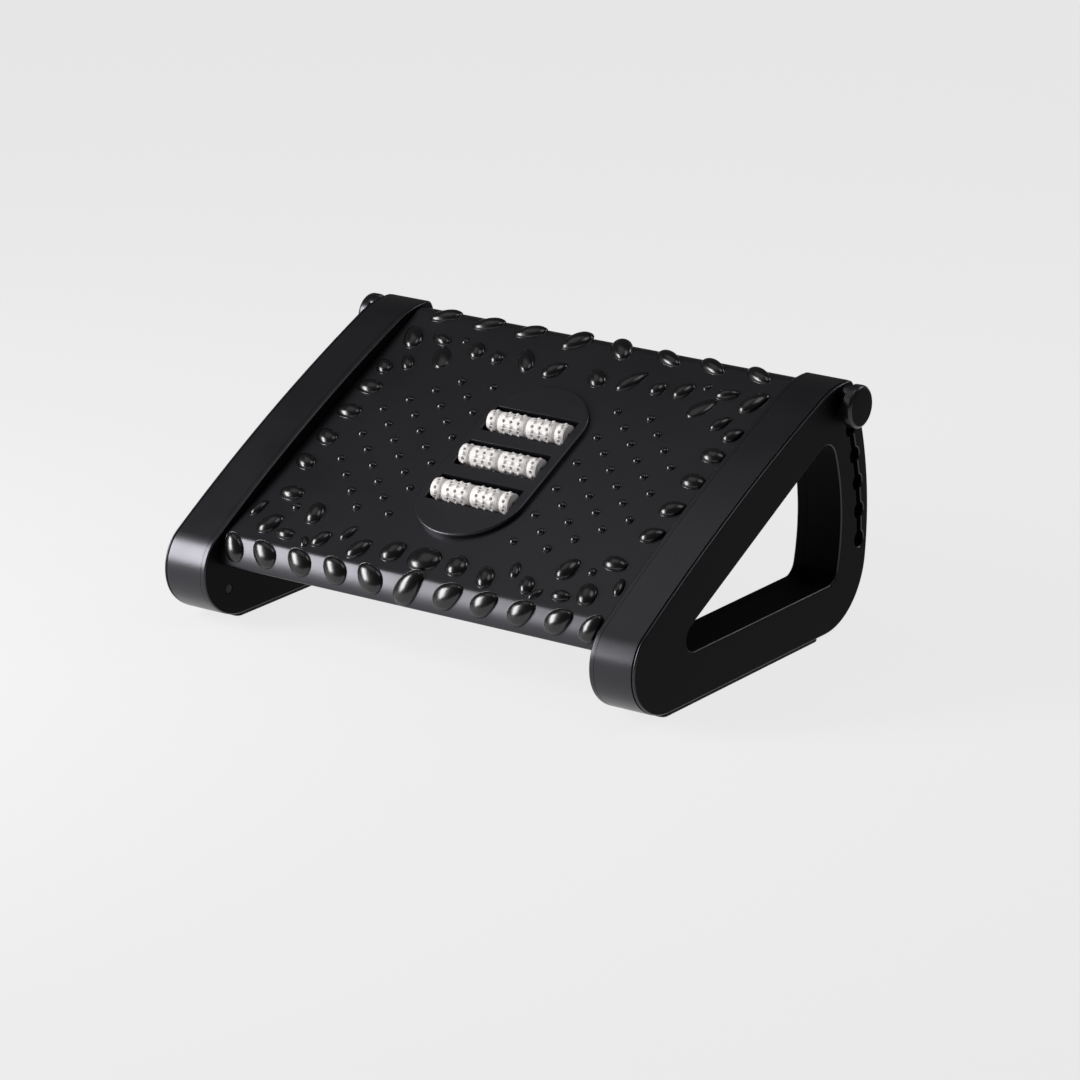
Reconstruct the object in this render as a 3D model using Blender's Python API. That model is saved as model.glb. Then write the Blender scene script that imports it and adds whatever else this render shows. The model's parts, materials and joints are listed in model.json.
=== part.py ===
"""Adjustable footrest: two side frames, a tilting footboard with a massage surface and nubbed rollers."""
import math

import bmesh
import bpy
from mathutils import Matrix, Vector

# Overall size
WIDTH = 0.434
DEPTH = 0.319
HEIGHT = 0.198
FRAME_THICK = 0.040

# Clearances
FIT = 0.0003
RUNNING_FIT = 0.001
OVERRUN = 0.002
OVERLAP = 0.0008

# Side frame outline, seen from the side
BASE = 0.0028
FRONT_RADIUS = 0.034
FRONT_HEIGHT = 0.0421
TOE_RADIUS = 0.050
SLOPE_RADIUS = 1.650
CROWN_RADIUS = 0.085
CROWN_SETBACK = 0.0355
TOP_RADIUS = 0.007
REAR_RADIUS = 0.260
BULGE_HEIGHT = 0.083
HEEL_RADIUS = 0.056
BOTTOM_BAR = 0.0384
REAR_LEG = 0.0383
FRONT_SOLID = 0.0685
TOP_DROP = 0.044
OPENING_REAR_RADIUS = 0.160
OPENING_BULGE_HEIGHT = 0.088
OPENING_FRONT_RADIUS = 0.011
OPENING_TOP_RADIUS = 0.015
OPENING_HEEL_RADIUS = 0.0125

# Shells
SHELL_WALL = 0.003
FACE_PLATE = 0.003
EDGE_ROUND = 0.0015
RIM_SEAM = 0.0045
OPENING_SEAM = 0.009
POST_RADIUS = 0.0045
SLOPE_POST_INSET = 0.0165
TRACK_DEPTH = 0.012
TRACK_WALL = 0.004

# Pivot, rods and slot
PIVOT_SETBACK = 0.0305
PIVOT_HEIGHT = 0.067
FRONT_ROD_RADIUS = 0.003
FRONT_ROD_SOCKET = 0.020
SOCKET_WALL = 0.0042
REAR_ROD_RADIUS = 0.004
THREAD_RADIUS = 0.0026
ROD_DROP = 0.0097
ROD_TOP_MARGIN = 0.0173
SLOT_MARGIN = 0.0161
LOWEST_ANGLE = math.radians(0.2)
POSITIONS = 6
SEAT_RADIUS = 0.0065
NECK_HALF_WIDTH = 0.003
BUSH_RADIUS = 0.006

# Footboard, in its own flat frame: X across, Y from the pivot to the rear, Z up
BOARD_THICK = 0.003
TOP_ABOVE_PIVOT = 0.007
FRONT_ROLL_RADIUS = 0.0145
FRONT_ROLL_BACK = 0.0009
FRONT_LIP_ANGLE = math.radians(150)
REAR_ROLL_RADIUS = 0.0136
REAR_ROLL_AHEAD = 0.004
ROD_PAST_FIELD = 0.0023
REAR_LIP_ANGLE = math.radians(160)
RIB_THICK = 0.0024
RIB_BOTTOM = 0.008
INNER_RIB_SHARES = (0.375, 0.67)
CROSS_RIB_SHARES = (0.13, 0.87)
CROSS_RIB_BOTTOM = 0.003

# Raised panel and its roller windows
PANEL_BORDER = 0.009
PANEL_RISE = 0.0043
PANEL_CENTRE_SHARE = 0.47
WINDOW_SIDE_GAP = 0.0014
WINDOW_LENGTH = 0.0278
WINDOW_CORNER = 0.003
WINDOW_PITCH = 0.0405
ROW_NAMES = ("front", "middle", "rear")

# Rollers
ROLLER_RADIUS = 0.0094
NUB_HEIGHT = 0.002
NUB_TAPER_SHARE = 0.5
NUB_PITCH = 0.0034
NUB_ROWS = 8
MAIN_RINGS = 7
END_RINGS = 2
ROLLER_RIM = 0.0008
END_ROLLER_RIM = 0.00105
ROLLER_GAP = 0.0006
AXLE_RADIUS = 0.0016
AXLE_BELOW_PANEL = 0.0031

# Roller tray under the panel
TRAY_WALL = 0.0025
TRAY_FLOOR_GAP = 0.0012
TRAY_FLANGE = 0.014
TRAY_FLANGE_THICK = 0.002
TRAY_BOSS = 0.004

# Pebbles and dots of the massage surface
DOT_RADIUS = 0.0034
DOT_HEIGHT = 0.0024
DOT_PITCH = 0.0152
DOT_PANEL_GAP = 0.0115
DOT_COLUMNS = 6
DOT_ROWS = 11
DOT_FIELD_RADIUS = 0.141
DOT_SIDES = 4
PEBBLE_SIDES = 7
PEBBLE_HEIGHT = 0.005
PEBBLE_LENGTH = 0.022
PEBBLE_SINK = 0.0012
SHOULDER_RISE_SHARE = 0.6
SHOULDER_WIDTH_SHARE = 0.78
REAR_ROW_AHEAD = 0.0003
FRONT_ROW_PAST_EDGE = 0.0105

# Knobs
KNOB_RADIUS = 0.0168
KNOB_REACH = 0.0148
KNOB_CAP = 0.0085
KNOB_BEVEL = 0.0026
KNOB_GAP = 0.0006
LOBES = 4
LOBE_RADIUS = 0.0055
LOBE_TURN = math.radians(24)
HUB_RADIUS = 0.010
NOSE_RADIUS = 0.0075
INSERT_RADIUS = 0.0045
INSERT_LENGTH = 0.009
THREAD_END_GAP = 0.003

# Fasteners and feet
SCREW_RADIUS = 0.0018
SCREW_HEAD_RADIUS = 0.0036
SCREW_HEAD = 0.0022
SCREW_LENGTH = 0.020
FOOT_INSET = 0.0015
FOOT_CORNER = 0.004
FOOT_FRONT_MARGIN = 0.042
FOOT_REAR_MARGIN = 0.0655
FOOT_CHAMFER = 0.0006

# Values that follow from the sizes
OUTER_X = WIDTH / 2
INNER_X = OUTER_X - FRAME_THICK
BOARD_HALF_WIDTH = INNER_X - RUNNING_FIT
PIVOT = Vector((0, PIVOT_SETBACK - DEPTH / 2, PIVOT_HEIGHT))
ROD_TOP_HEIGHT = HEIGHT - ROD_TOP_MARGIN
ROD_TOP_REACH = math.sqrt((REAR_RADIUS - SLOT_MARGIN) ** 2 - (ROD_TOP_HEIGHT - BULGE_HEIGHT) ** 2)
SLOT_RADIUS = math.hypot(DEPTH / 2 - REAR_RADIUS + ROD_TOP_REACH - PIVOT.y, ROD_TOP_HEIGHT - PIVOT.z)
ROD_Y = math.sqrt(SLOT_RADIUS ** 2 - ROD_DROP ** 2)
TOP_ANGLE = math.asin((ROD_TOP_HEIGHT - PIVOT.z) / SLOT_RADIUS)
TILT = TOP_ANGLE + math.asin(ROD_DROP / SLOT_RADIUS)
FRONT_ROLL = Vector((-FRONT_ROLL_BACK, TOP_ABOVE_PIVOT - FRONT_ROLL_RADIUS))
REAR_ROLL = Vector((ROD_Y - REAR_ROLL_AHEAD, TOP_ABOVE_PIVOT - REAR_ROLL_RADIUS))
BOARD_LENGTH = ROD_Y - ROD_PAST_FIELD
PANEL_CENTRE = PANEL_CENTRE_SHARE * BOARD_LENGTH
MAIN_ROLLER = MAIN_RINGS * NUB_PITCH + 2 * ROLLER_RIM
END_ROLLER = END_RINGS * NUB_PITCH + 2 * END_ROLLER_RIM
WINDOW_HALF_WIDTH = MAIN_ROLLER + END_ROLLER + 3 * ROLLER_GAP + WINDOW_SIDE_GAP
PANEL_HALF_WIDTH = WINDOW_HALF_WIDTH + PANEL_BORDER
DOT_FIRST = PANEL_HALF_WIDTH + DOT_PANEL_GAP
PANEL_LENGTH = 2 * (WINDOW_PITCH + PANEL_HALF_WIDTH)
PANEL_TOP = TOP_ABOVE_PIVOT + PANEL_RISE
AXLE_Z = PANEL_TOP - AXLE_BELOW_PANEL
ROW_PLACES = [PANEL_CENTRE + (row - 1) * WINDOW_PITCH for row in range(len(ROW_NAMES))]
TRAY_HALF_WIDTH = PANEL_HALF_WIDTH - BOARD_THICK - FIT
TRAY_LENGTH = PANEL_LENGTH - 2 * (BOARD_THICK + FIT)
FLANGE_TOP = TOP_ABOVE_PIVOT - BOARD_THICK - TRAY_BOSS - FIT
KNOB_START = OUTER_X + KNOB_GAP
KNOB_END = OUTER_X + KNOB_REACH
ROD_ANGLE = TOP_ANGLE - TILT

ROUND_STEPS = 20
SEAT_STEPS = 14
SMALL_STEPS = 10
SCREW_STEPS = 8


def clear_scene():
    for item in list(bpy.data.objects):
        bpy.data.objects.remove(item, do_unlink=True)


def plastic(name, colour, roughness, metallic=0.0):
    """A Principled material of one colour."""
    made = bpy.data.materials.get(name)
    if made:
        return made
    made = bpy.data.materials.new(name)
    made.use_nodes = True
    shader = made.node_tree.nodes["Principled BSDF"]
    shader.inputs["Base Color"].default_value = (*colour, 1)
    shader.inputs["Roughness"].default_value = roughness
    shader.inputs["Metallic"].default_value = metallic
    made.diffuse_color = (*colour, 1)
    return made


def black_shell():
    return plastic("black_shell", (0.012, 0.012, 0.014), 0.42)


def board_black():
    return plastic("board_black", (0.018, 0.018, 0.020), 0.38)


def white_nylon():
    return plastic("white_nylon", (0.80, 0.78, 0.77), 0.45)


def rubber():
    return plastic("foot_rubber", (0.010, 0.010, 0.010), 0.85)


def steel():
    return plastic("bright_steel", (0.55, 0.56, 0.58), 0.28, 1.0)


def brass():
    return plastic("insert_brass", (0.75, 0.55, 0.25), 0.35, 1.0)


def add_object(bm, name, material, parent=None, place=(0, 0, 0)):
    """Puts a finished mesh in the scene, shaded smooth with sharp edges kept."""
    bmesh.ops.remove_doubles(bm, verts=bm.verts, dist=FIT / 100)
    bmesh.ops.recalc_face_normals(bm, faces=bm.faces)
    mesh = bpy.data.meshes.new(name)
    bm.to_mesh(mesh)
    bm.free()
    mesh.shade_smooth()
    mesh.set_sharp_from_angle(angle=math.radians(40))
    made = bpy.data.objects.new(name, mesh)
    mesh.materials.append(material)
    bpy.context.collection.objects.link(made)
    made.parent = parent
    made.location = place
    return made


def add_tool(bm, name, parent=None, place=(0, 0, 0)):
    """A shape that is joined to another or cut from it, and isn't a piece itself."""
    made = add_object(bm, name, black_shell(), parent, place)
    made.hide_render = True
    made.display_type = "WIRE"
    return made


def combine(target, tool, operation, crossing=False):
    step = target.modifiers.new(tool.name, "BOOLEAN")
    step.operation = operation
    step.object = tool
    step.use_self = crossing


def add_loop(bm, x, outline):
    """One closed loop of edges at a distance x across, from an outline of (y, z) points."""
    ring = [bm.verts.new((x, y, z)) for y, z in outline]
    return ring, [bm.edges.new((a, b)) for a, b in zip(ring, ring[1:] + ring[:1])]


def loft(sections, bm=None):
    """A closed solid through outlines of equal point count, each at its own x."""
    bm = bm or bmesh.new()
    loops = [add_loop(bm, x, outline) for x, outline in sections]
    for (_, near), (_, far) in zip(loops, loops[1:]):
        bmesh.ops.bridge_loops(bm, edges=near + far)
    bm.faces.new(loops[0][0])
    bm.faces.new(loops[-1][0])
    return bm


def arc(centre, radius, start, end, steps):
    """Points (y, z) along an arc; the angles are counted from +Y towards +Z."""
    points = []
    for index in range(steps + 1):
        angle = start + (end - start) * index / steps
        points.append((centre[0] + radius * math.cos(angle), centre[1] + radius * math.sin(angle)))
    return points


def circle(centre, radius, steps):
    return arc(centre, radius, 0, math.tau * (steps - 1) / steps, steps - 1)


def direction(start, end):
    return math.atan2(end[1] - start[1], end[0] - start[0])


def inside_circle(big_centre, big_radius, radius, height):
    """Centre of a circle at a height that touches a bigger one from inside, on its +Y side."""
    rise = height - big_centre[1]
    reach = math.sqrt((big_radius - radius) ** 2 - rise ** 2)
    return big_centre[0] + reach, height


def crossing(first, first_reach, second, second_reach, side):
    """The point at given distances from two points, on their left (1) or right (-1) side."""
    span = math.dist(first, second)
    along = (first_reach ** 2 - second_reach ** 2 + span ** 2) / (2 * span)
    away = side * math.sqrt(first_reach ** 2 - along ** 2)
    turn = direction(first, second)
    return (first[0] + along * math.cos(turn) - away * math.sin(turn),
            first[1] + along * math.sin(turn) + away * math.cos(turn))


def frame_arcs():
    """Centres of the arcs that make up the side frame's outline."""
    front = (FRONT_RADIUS - DEPTH / 2, FRONT_HEIGHT)
    toe_height = BASE + TOE_RADIUS
    toe_reach = math.sqrt((TOE_RADIUS - FRONT_RADIUS) ** 2 - (toe_height - FRONT_HEIGHT) ** 2)
    toe = (front[0] + toe_reach, toe_height)
    rear = (DEPTH / 2 - REAR_RADIUS, BULGE_HEIGHT)
    heel = inside_circle(rear, REAR_RADIUS, HEEL_RADIUS, BASE + HEEL_RADIUS)
    crown = (DEPTH / 2 - CROWN_SETBACK, HEIGHT - CROWN_RADIUS)
    top = crossing(rear, REAR_RADIUS - TOP_RADIUS, crown, CROWN_RADIUS - TOP_RADIUS, 1)
    slope = crossing(front, SLOPE_RADIUS - FRONT_RADIUS, crown, SLOPE_RADIUS - CROWN_RADIUS, -1)
    return toe, front, rear, heel, top, crown, slope


def frame_outline(inset=0.0):
    """The side frame's outline, drawn in by an inset; it runs from the heel round to the front."""
    toe, front, rear, heel, top, crown, slope = frame_arcs()
    to_heel, to_top, to_crown = direction(rear, heel), direction(rear, top), direction(crown, top)
    slope_crown, slope_front, to_toe = direction(slope, crown), direction(slope, front), direction(toe, front)
    points = arc(heel, HEEL_RADIUS - inset, -math.pi / 2, to_heel, 6)
    points += arc(rear, REAR_RADIUS - inset, to_heel, to_top, 5)[1:]
    points += arc(top, TOP_RADIUS - inset, to_top, to_crown, 4)[1:]
    points += arc(crown, CROWN_RADIUS - inset, to_crown, slope_crown, 4)[1:]
    points += arc(slope, SLOPE_RADIUS - inset, slope_crown, slope_front, 5)[1:]
    points += arc(front, FRONT_RADIUS - inset, slope_front, to_toe + 2 * math.pi, 8)[1:]
    points += arc(toe, TOE_RADIUS - inset, to_toe, -math.pi / 2, 4)[1:]
    return points


def opening_outline(grow=0.0):
    """The three-cornered window through a side frame, made larger all round by a growth."""
    rear = (DEPTH / 2 - REAR_LEG - OPENING_REAR_RADIUS, OPENING_BULGE_HEIGHT)
    floor = BASE + BOTTOM_BAR
    heel = inside_circle(rear, OPENING_REAR_RADIUS, OPENING_HEEL_RADIUS, floor + OPENING_HEEL_RADIUS)
    top_height = HEIGHT - TOP_DROP - OPENING_TOP_RADIUS
    top = inside_circle(rear, OPENING_REAR_RADIUS, OPENING_TOP_RADIUS, top_height)
    front = (FRONT_SOLID - DEPTH / 2 + OPENING_FRONT_RADIUS, floor + OPENING_FRONT_RADIUS)
    to_heel, to_top = direction(rear, heel), direction(rear, top)
    narrowing = math.acos((OPENING_TOP_RADIUS - OPENING_FRONT_RADIUS) / math.dist(front, top))
    slope = direction(front, top) + narrowing
    points = arc(heel, OPENING_HEEL_RADIUS + grow, -math.pi / 2, to_heel, 4)
    points += arc(rear, OPENING_REAR_RADIUS + grow, to_heel, to_top, 3)[1:]
    points += arc(top, OPENING_TOP_RADIUS + grow, to_top, slope, 5)[1:]
    points += arc(front, OPENING_FRONT_RADIUS + grow, slope, 3 * math.pi / 2, 5)
    return points


def screw_places():
    """Four places (y, z) in a side frame's bars where a post and its screw stand."""
    toe, front, rear, heel, top, crown, slope = frame_arcs()
    low_bar = BASE + BOTTOM_BAR / 2
    slope_mid = (direction(slope, crown) + direction(slope, front)) / 2
    depth = SLOPE_RADIUS - SLOPE_POST_INSET
    return {
        "front": (front[0] - POST_RADIUS, low_bar + POST_RADIUS),
        "bottom": ((front[0] + heel[0]) / 2, low_bar),
        "heel": (heel[0] + BOTTOM_BAR / 2, low_bar + POST_RADIUS),
        "slope": (slope[0] + depth * math.cos(slope_mid), slope[1] + depth * math.sin(slope_mid)),
    }


def rod_place(angle):
    """Where (y, z) the rear rod's axis lies when the line from the pivot has risen to an angle."""
    return PIVOT.y + SLOT_RADIUS * math.cos(angle), PIVOT.z + SLOT_RADIUS * math.sin(angle)


def slot_outline(half_width, past=0.0):
    """The curved slot's band, from the lowest place to the highest, with square ends."""
    start, end = LOWEST_ANGLE - past / SLOT_RADIUS, TOP_ANGLE + past / SLOT_RADIUS
    centre = (PIVOT.y, PIVOT.z)
    outer = arc(centre, SLOT_RADIUS + half_width, start, end, 8)
    inner = arc(centre, SLOT_RADIUS - half_width, end, start, 8)
    return outer + inner


def seat_angles():
    step = (TOP_ANGLE - LOWEST_ANGLE) / (POSITIONS - 1)
    return [LOWEST_ANGLE + step * index for index in range(POSITIONS)]


def pin(x0, x1, centre, radius, steps=SMALL_STEPS, bm=None):
    """A plain round bar across the object."""
    ring = circle(centre, radius, steps)
    return loft([(x0, ring), (x1, ring)], bm)


def mirror_x(bm):
    bmesh.ops.scale(bm, vec=(-1, 1, 1), verts=bm.verts)


def side_object(bm, side, maker, name, *rest):
    """Finishes a shape drawn for the right side as the piece for either side."""
    if side == "left":
        mirror_x(bm)
    return maker(bm, f"{name}_{side}", *rest)


def frame_inner(side):
    """Inner half of a side frame: a plate, a collar round the window and a socket for the front rod."""
    rim, collar = INNER_X + RIM_SEAM - FIT / 2, INNER_X + OPENING_SEAM - FIT / 2
    plate = loft([(INNER_X, frame_outline(EDGE_ROUND)), (INNER_X + EDGE_ROUND, frame_outline()),
                  (rim, frame_outline())])
    shell = side_object(plate, side, add_object, "frame_inner", black_shell())
    lip = opening_outline(SHELL_WALL)
    collar_ring = loft([(rim - OVERLAP, lip), (collar, lip)])
    combine(shell, side_object(collar_ring, side, add_tool, "collar"), "UNION")
    socket_end = INNER_X + FRONT_ROD_SOCKET + SHELL_WALL
    pivot = (PIVOT.y, PIVOT.z)
    boss = pin(rim - OVERLAP, socket_end, pivot, FRONT_ROD_RADIUS + SOCKET_WALL, SEAT_STEPS)
    combine(shell, side_object(boss, side, add_tool, "rod_boss"), "UNION")
    window = loft([(INNER_X - OVERRUN, opening_outline()), (collar + OVERRUN, opening_outline())])
    combine(shell, side_object(window, side, add_tool, "inner_window"), "DIFFERENCE")
    slot = loft([(INNER_X - OVERRUN, slot_outline(BUSH_RADIUS + FIT)), (rim + OVERRUN, slot_outline(BUSH_RADIUS + FIT))])
    combine(shell, side_object(slot, side, add_tool, "inner_slot"), "DIFFERENCE")
    ends = bmesh.new()
    for angle in (LOWEST_ANGLE, TOP_ANGLE):
        pin(INNER_X - OVERRUN, rim + OVERRUN, rod_place(angle), BUSH_RADIUS + FIT, SEAT_STEPS, ends)
    combine(shell, side_object(ends, side, add_tool, "inner_slot_ends"), "DIFFERENCE")
    bores = pin(INNER_X - OVERRUN, INNER_X + FRONT_ROD_SOCKET, pivot, FRONT_ROD_RADIUS + FIT)
    for place in screw_places().values():
        pin(INNER_X - OVERRUN, INNER_X + SCREW_HEAD + FIT, place, SCREW_HEAD_RADIUS + FIT, SCREW_STEPS, bores)
    combine(shell, side_object(bores, side, add_tool, "inner_bores"), "DIFFERENCE")
    holes = bmesh.new()
    for place in screw_places().values():
        pin(INNER_X + SCREW_HEAD, rim + OVERRUN, place, SCREW_RADIUS + FIT, SCREW_STEPS, holes)
    combine(shell, side_object(holes, side, add_tool, "inner_holes"), "DIFFERENCE")
    return shell


def frame_outer(side):
    """Outer half of a side frame: a deep tray with screw posts and the slotted track for the rear rod."""
    rim, collar = INNER_X + RIM_SEAM + FIT / 2, INNER_X + OPENING_SEAM + FIT / 2
    floor = OUTER_X - FACE_PLATE
    sections = [(rim, frame_outline()), (OUTER_X - EDGE_ROUND, frame_outline()), (OUTER_X, frame_outline(EDGE_ROUND))]
    shell = side_object(loft(sections), side, add_object, "frame_outer", black_shell())
    hollow = loft([(rim - OVERRUN, frame_outline(SHELL_WALL)), (floor, frame_outline(SHELL_WALL))])
    hollow = side_object(hollow, side, add_tool, "frame_hollow")
    island = opening_outline(SHELL_WALL)
    core = loft([(collar, island), (floor + OVERRUN, island)])
    combine(hollow, side_object(core, side, add_tool, "window_wall"), "DIFFERENCE")
    band = slot_outline(SEAT_RADIUS + TRACK_WALL, SEAT_RADIUS + TRACK_WALL)
    track = loft([(OUTER_X - TRACK_DEPTH, band), (floor + OVERRUN, band)])
    combine(hollow, side_object(track, side, add_tool, "track"), "DIFFERENCE")
    posts = bmesh.new()
    for place in screw_places().values():
        pin(rim, floor + OVERRUN, place, POST_RADIUS, SCREW_STEPS, posts)
    combine(hollow, side_object(posts, side, add_tool, "posts"), "DIFFERENCE")
    combine(shell, hollow, "DIFFERENCE")
    flare = EDGE_ROUND
    window = loft([(rim - OVERRUN, opening_outline()), (OUTER_X - flare, opening_outline()),
                   (OUTER_X + flare, opening_outline(2 * flare))])
    combine(shell, side_object(window, side, add_tool, "outer_window"), "DIFFERENCE")
    neck = loft([(rim, slot_outline(NECK_HALF_WIDTH)), (OUTER_X + OVERRUN, slot_outline(NECK_HALF_WIDTH))])
    combine(shell, side_object(neck, side, add_tool, "slot_necks"), "DIFFERENCE")
    seats = bmesh.new()
    for angle in seat_angles():
        pin(rim, OUTER_X + OVERRUN, rod_place(angle), SEAT_RADIUS, SEAT_STEPS, seats)
    combine(shell, side_object(seats, side, add_tool, "slot_seats"), "DIFFERENCE")
    holes = bmesh.new()
    for place in screw_places().values():
        pin(rim - OVERRUN, INNER_X + SCREW_LENGTH + OVERRUN, place, SCREW_RADIUS + FIT, SCREW_STEPS, holes)
    combine(shell, side_object(holes, side, add_tool, "post_holes"), "DIFFERENCE")
    return shell


def foot_strip(side):
    """Rubber strip under a side frame."""
    start, end = FOOT_FRONT_MARGIN - DEPTH / 2, DEPTH / 2 - FOOT_REAR_MARGIN
    middle = (INNER_X + OUTER_X) / 2
    bm = bmesh.new()
    bmesh.ops.create_cube(bm, size=1)
    height = BASE - FIT
    bmesh.ops.scale(bm, vec=(FRAME_THICK - 2 * FOOT_INSET, end - start, height), verts=bm.verts)
    bmesh.ops.translate(bm, vec=(middle, (start + end) / 2, height / 2), verts=bm.verts)
    upright = [edge for edge in bm.edges if abs(edge.verts[0].co.z - edge.verts[1].co.z) > height / 2]
    bmesh.ops.bevel(bm, geom=upright, offset=FOOT_CORNER, segments=2, profile=0.5, affect="EDGES", material=-1)
    low = [edge for edge in bm.edges if max(vert.co.z for vert in edge.verts) < height / 2]
    bmesh.ops.bevel(bm, geom=low, offset=FOOT_CHAMFER, segments=1, profile=0.5, affect="EDGES", material=-1)
    return side_object(bm, side, add_object, "foot_strip", rubber())


def screw_sections(top, under, tip):
    """Sections of a pan-head screw: its head, the small cone under the head and its shank."""
    head, shank = circle((0, 0), SCREW_HEAD_RADIUS, SCREW_STEPS), circle((0, 0), SCREW_RADIUS, SCREW_STEPS)
    return [(top, head), (under, head), (under + FIT / 2, shank), (tip, shank)]


def frame_screws(side):
    """Screws that come from the inside and hold a frame's two shells together."""
    start = INNER_X + FIT
    for name, (y, z) in screw_places().items():
        bm = loft(screw_sections(start, start + SCREW_HEAD - FIT, INNER_X + SCREW_LENGTH))
        side_object(bm, side, add_object, f"frame_screw_{name}", steel(), None, (0, y, z))


def front_rod():
    reach = INNER_X + FRONT_ROD_SOCKET - FIT
    add_object(pin(-reach, reach, (PIVOT.y, PIVOT.z), FRONT_ROD_RADIUS), "front_rod", steel())


def roll_point(roll, radius, angle):
    """A point (y, z) on a rolled edge; the angle is counted from the top towards +Y."""
    return roll[0] + radius * math.sin(angle), roll[1] + radius * math.cos(angle)


def board_section(inset=0.0, steps=8):
    """Line (y, z) of the board's skin, from the front lip over the top to the rear lip."""
    points = []
    for index in range(steps + 1):
        angle = -FRONT_LIP_ANGLE * (1 - index / steps)
        points.append(roll_point(FRONT_ROLL, FRONT_ROLL_RADIUS - inset, angle))
    for index in range(steps + 1):
        angle = REAR_LIP_ANGLE * index / steps
        points.append(roll_point(REAR_ROLL, REAR_ROLL_RADIUS - inset, angle))
    return points


def rib_outline(bottom):
    """Outline (y, z) of a lengthwise rib, which fills the board's section down to a level."""
    points = []
    for index in range(7):
        angle = -math.pi * (1 - index / 6)
        points.append(roll_point(FRONT_ROLL, FRONT_ROLL_RADIUS - BOARD_THICK / 2, angle))
    for index in range(7):
        angle = math.pi * index / 6
        points.append(roll_point(REAR_ROLL, REAR_ROLL_RADIUS - BOARD_THICK / 2, angle))
    rear = REAR_ROLL[0] - REAR_ROLL_RADIUS
    front = FRONT_ROLL[0] + FRONT_ROLL_RADIUS
    points += [(rear, -bottom), (front, -bottom)]
    return points


def stadium(half_width, length, steps=8):
    """Outline (x, y) of a long panel with round ends, about the panel's centre."""
    straight = length / 2 - half_width
    rear = arc((0, PANEL_CENTRE + straight), half_width, 0, math.pi, steps)
    front = arc((0, PANEL_CENTRE - straight), half_width, math.pi, math.tau, steps)
    return rear + front


def stack(sections, bm=None):
    """A closed solid through outlines of (x, y) points, each at its own z."""
    bm = bm or bmesh.new()
    loops = []
    for z, outline in sections:
        ring = [bm.verts.new((x, y, z)) for x, y in outline]
        loops.append((ring, [bm.edges.new((a, b)) for a, b in zip(ring, ring[1:] + ring[:1])]))
    for (_, near), (_, far) in zip(loops, loops[1:]):
        bmesh.ops.bridge_loops(bm, edges=near + far)
    bm.faces.new(loops[0][0])
    bm.faces.new(loops[-1][0])
    return bm


def box(x0, x1, y0, y1, z0, z1, bm=None):
    return stack([(z0, [(x0, y0), (x1, y0), (x1, y1), (x0, y1)]),
                  (z1, [(x0, y0), (x1, y0), (x1, y1), (x0, y1)])], bm)


def rounded_window(place, half_width, length, corner):
    """Outline (x, y) of a window with rounded corners, centred at a distance along the board."""
    points = []
    for quarter, (sx, sy) in enumerate(((1, 1), (-1, 1), (-1, -1), (1, -1))):
        centre = (sx * (half_width - corner), place + sy * (length / 2 - corner))
        start = quarter * math.pi / 2
        points += arc(centre, corner, start, start + math.pi / 2, 3)
    return points


# Half of the pebble field, right of the centre line. Each row holds the place across and along the
# board as shares of its half width and length, the pebble's length and width as shares of the
# standard length, its turn in degrees and its height as a share of the standard height.
PEBBLE_SHARES = (
    (0.906, 0.883, 1.20, 0.70, 60, 1.0),
    (0.761, 0.896, 0.90, 0.46, 20, 0.9),
    (0.645, 0.911, 0.36, 0.28, 60, 0.4),
    (0.551, 0.880, 0.90, 0.60, 60, 0.9),
    (0.429, 0.867, 0.68, 0.55, 60, 0.9),
    (0.281, 0.878, 1.25, 0.60, 58, 0.8),
    (0.114, 0.861, 1.00, 0.65, 130, 1.0),
    (0.690, 0.827, 1.15, 0.68, 60, 0.5),
    (0.832, 0.781, 0.86, 0.46, 55, 0.8),
    (0.925, 0.746, 0.80, 0.58, 45, 0.9),
    (0.912, 0.655, 0.98, 0.68, -5, 1.0),
    (0.912, 0.546, 0.98, 0.68, -5, 1.0),
    (0.914, 0.431, 0.98, 0.68, 25, 1.0),
    (0.914, 0.321, 0.94, 0.64, 30, 1.0),
    (0.852, 0.192, 0.95, 0.64, -5, 1.0),
    (0.778, 0.146, 0.36, 0.32, 100, 0.5),
    (0.665, 0.137, 1.05, 0.68, 75, 1.1),
    (0.946, 0.113, 0.82, 0.38, 105, 0.7),
    (0.832, 0.064, 1.05, 0.72, 115, 1.0),
    (0.724, 0.038, 0.73, 0.50, 0, 0.8),
    (0.608, 0.026, 0.58, 0.32, 60, 0.5),
    (0.540, 0.049, 0.84, 0.55, 115, 0.9),
    (0.437, 0.093, 0.80, 0.38, 110, 0.6),
    (0.332, 0.044, 1.05, 0.64, 115, 1.0),
    (0.168, 0.062, 1.00, 0.80, 115, 1.1),
)
CENTRE_PEBBLE_SHARES = (0.0, 0.058, 1.28, 1.10, 0, 1.1)

# Pebbles on the two rolled edges: place across, length, width, turn in degrees and height
REAR_ROW_SHARES = (
    (0.835, 1.20, 0.60, 155, 0.8),
    (0.598, 1.20, 0.60, 155, 0.8),
    (0.370, 1.20, 0.60, 155, 0.8),
    (0.119, 1.20, 0.76, 130, 1.0),
)
FRONT_ROW_SHARES = (
    (0.938, 1.05, 0.72, 60, 1.0),
    (0.773, 1.10, 0.80, 35, 1.0),
    (0.583, 1.10, 0.80, 35, 1.0),
    (0.392, 1.10, 0.80, 35, 1.0),
    (0.205, 1.20, 0.84, 35, 1.0),
)
FRONT_CENTRE_SHARES = (0.0, 1.35, 0.86, 60, 1.1)


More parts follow.
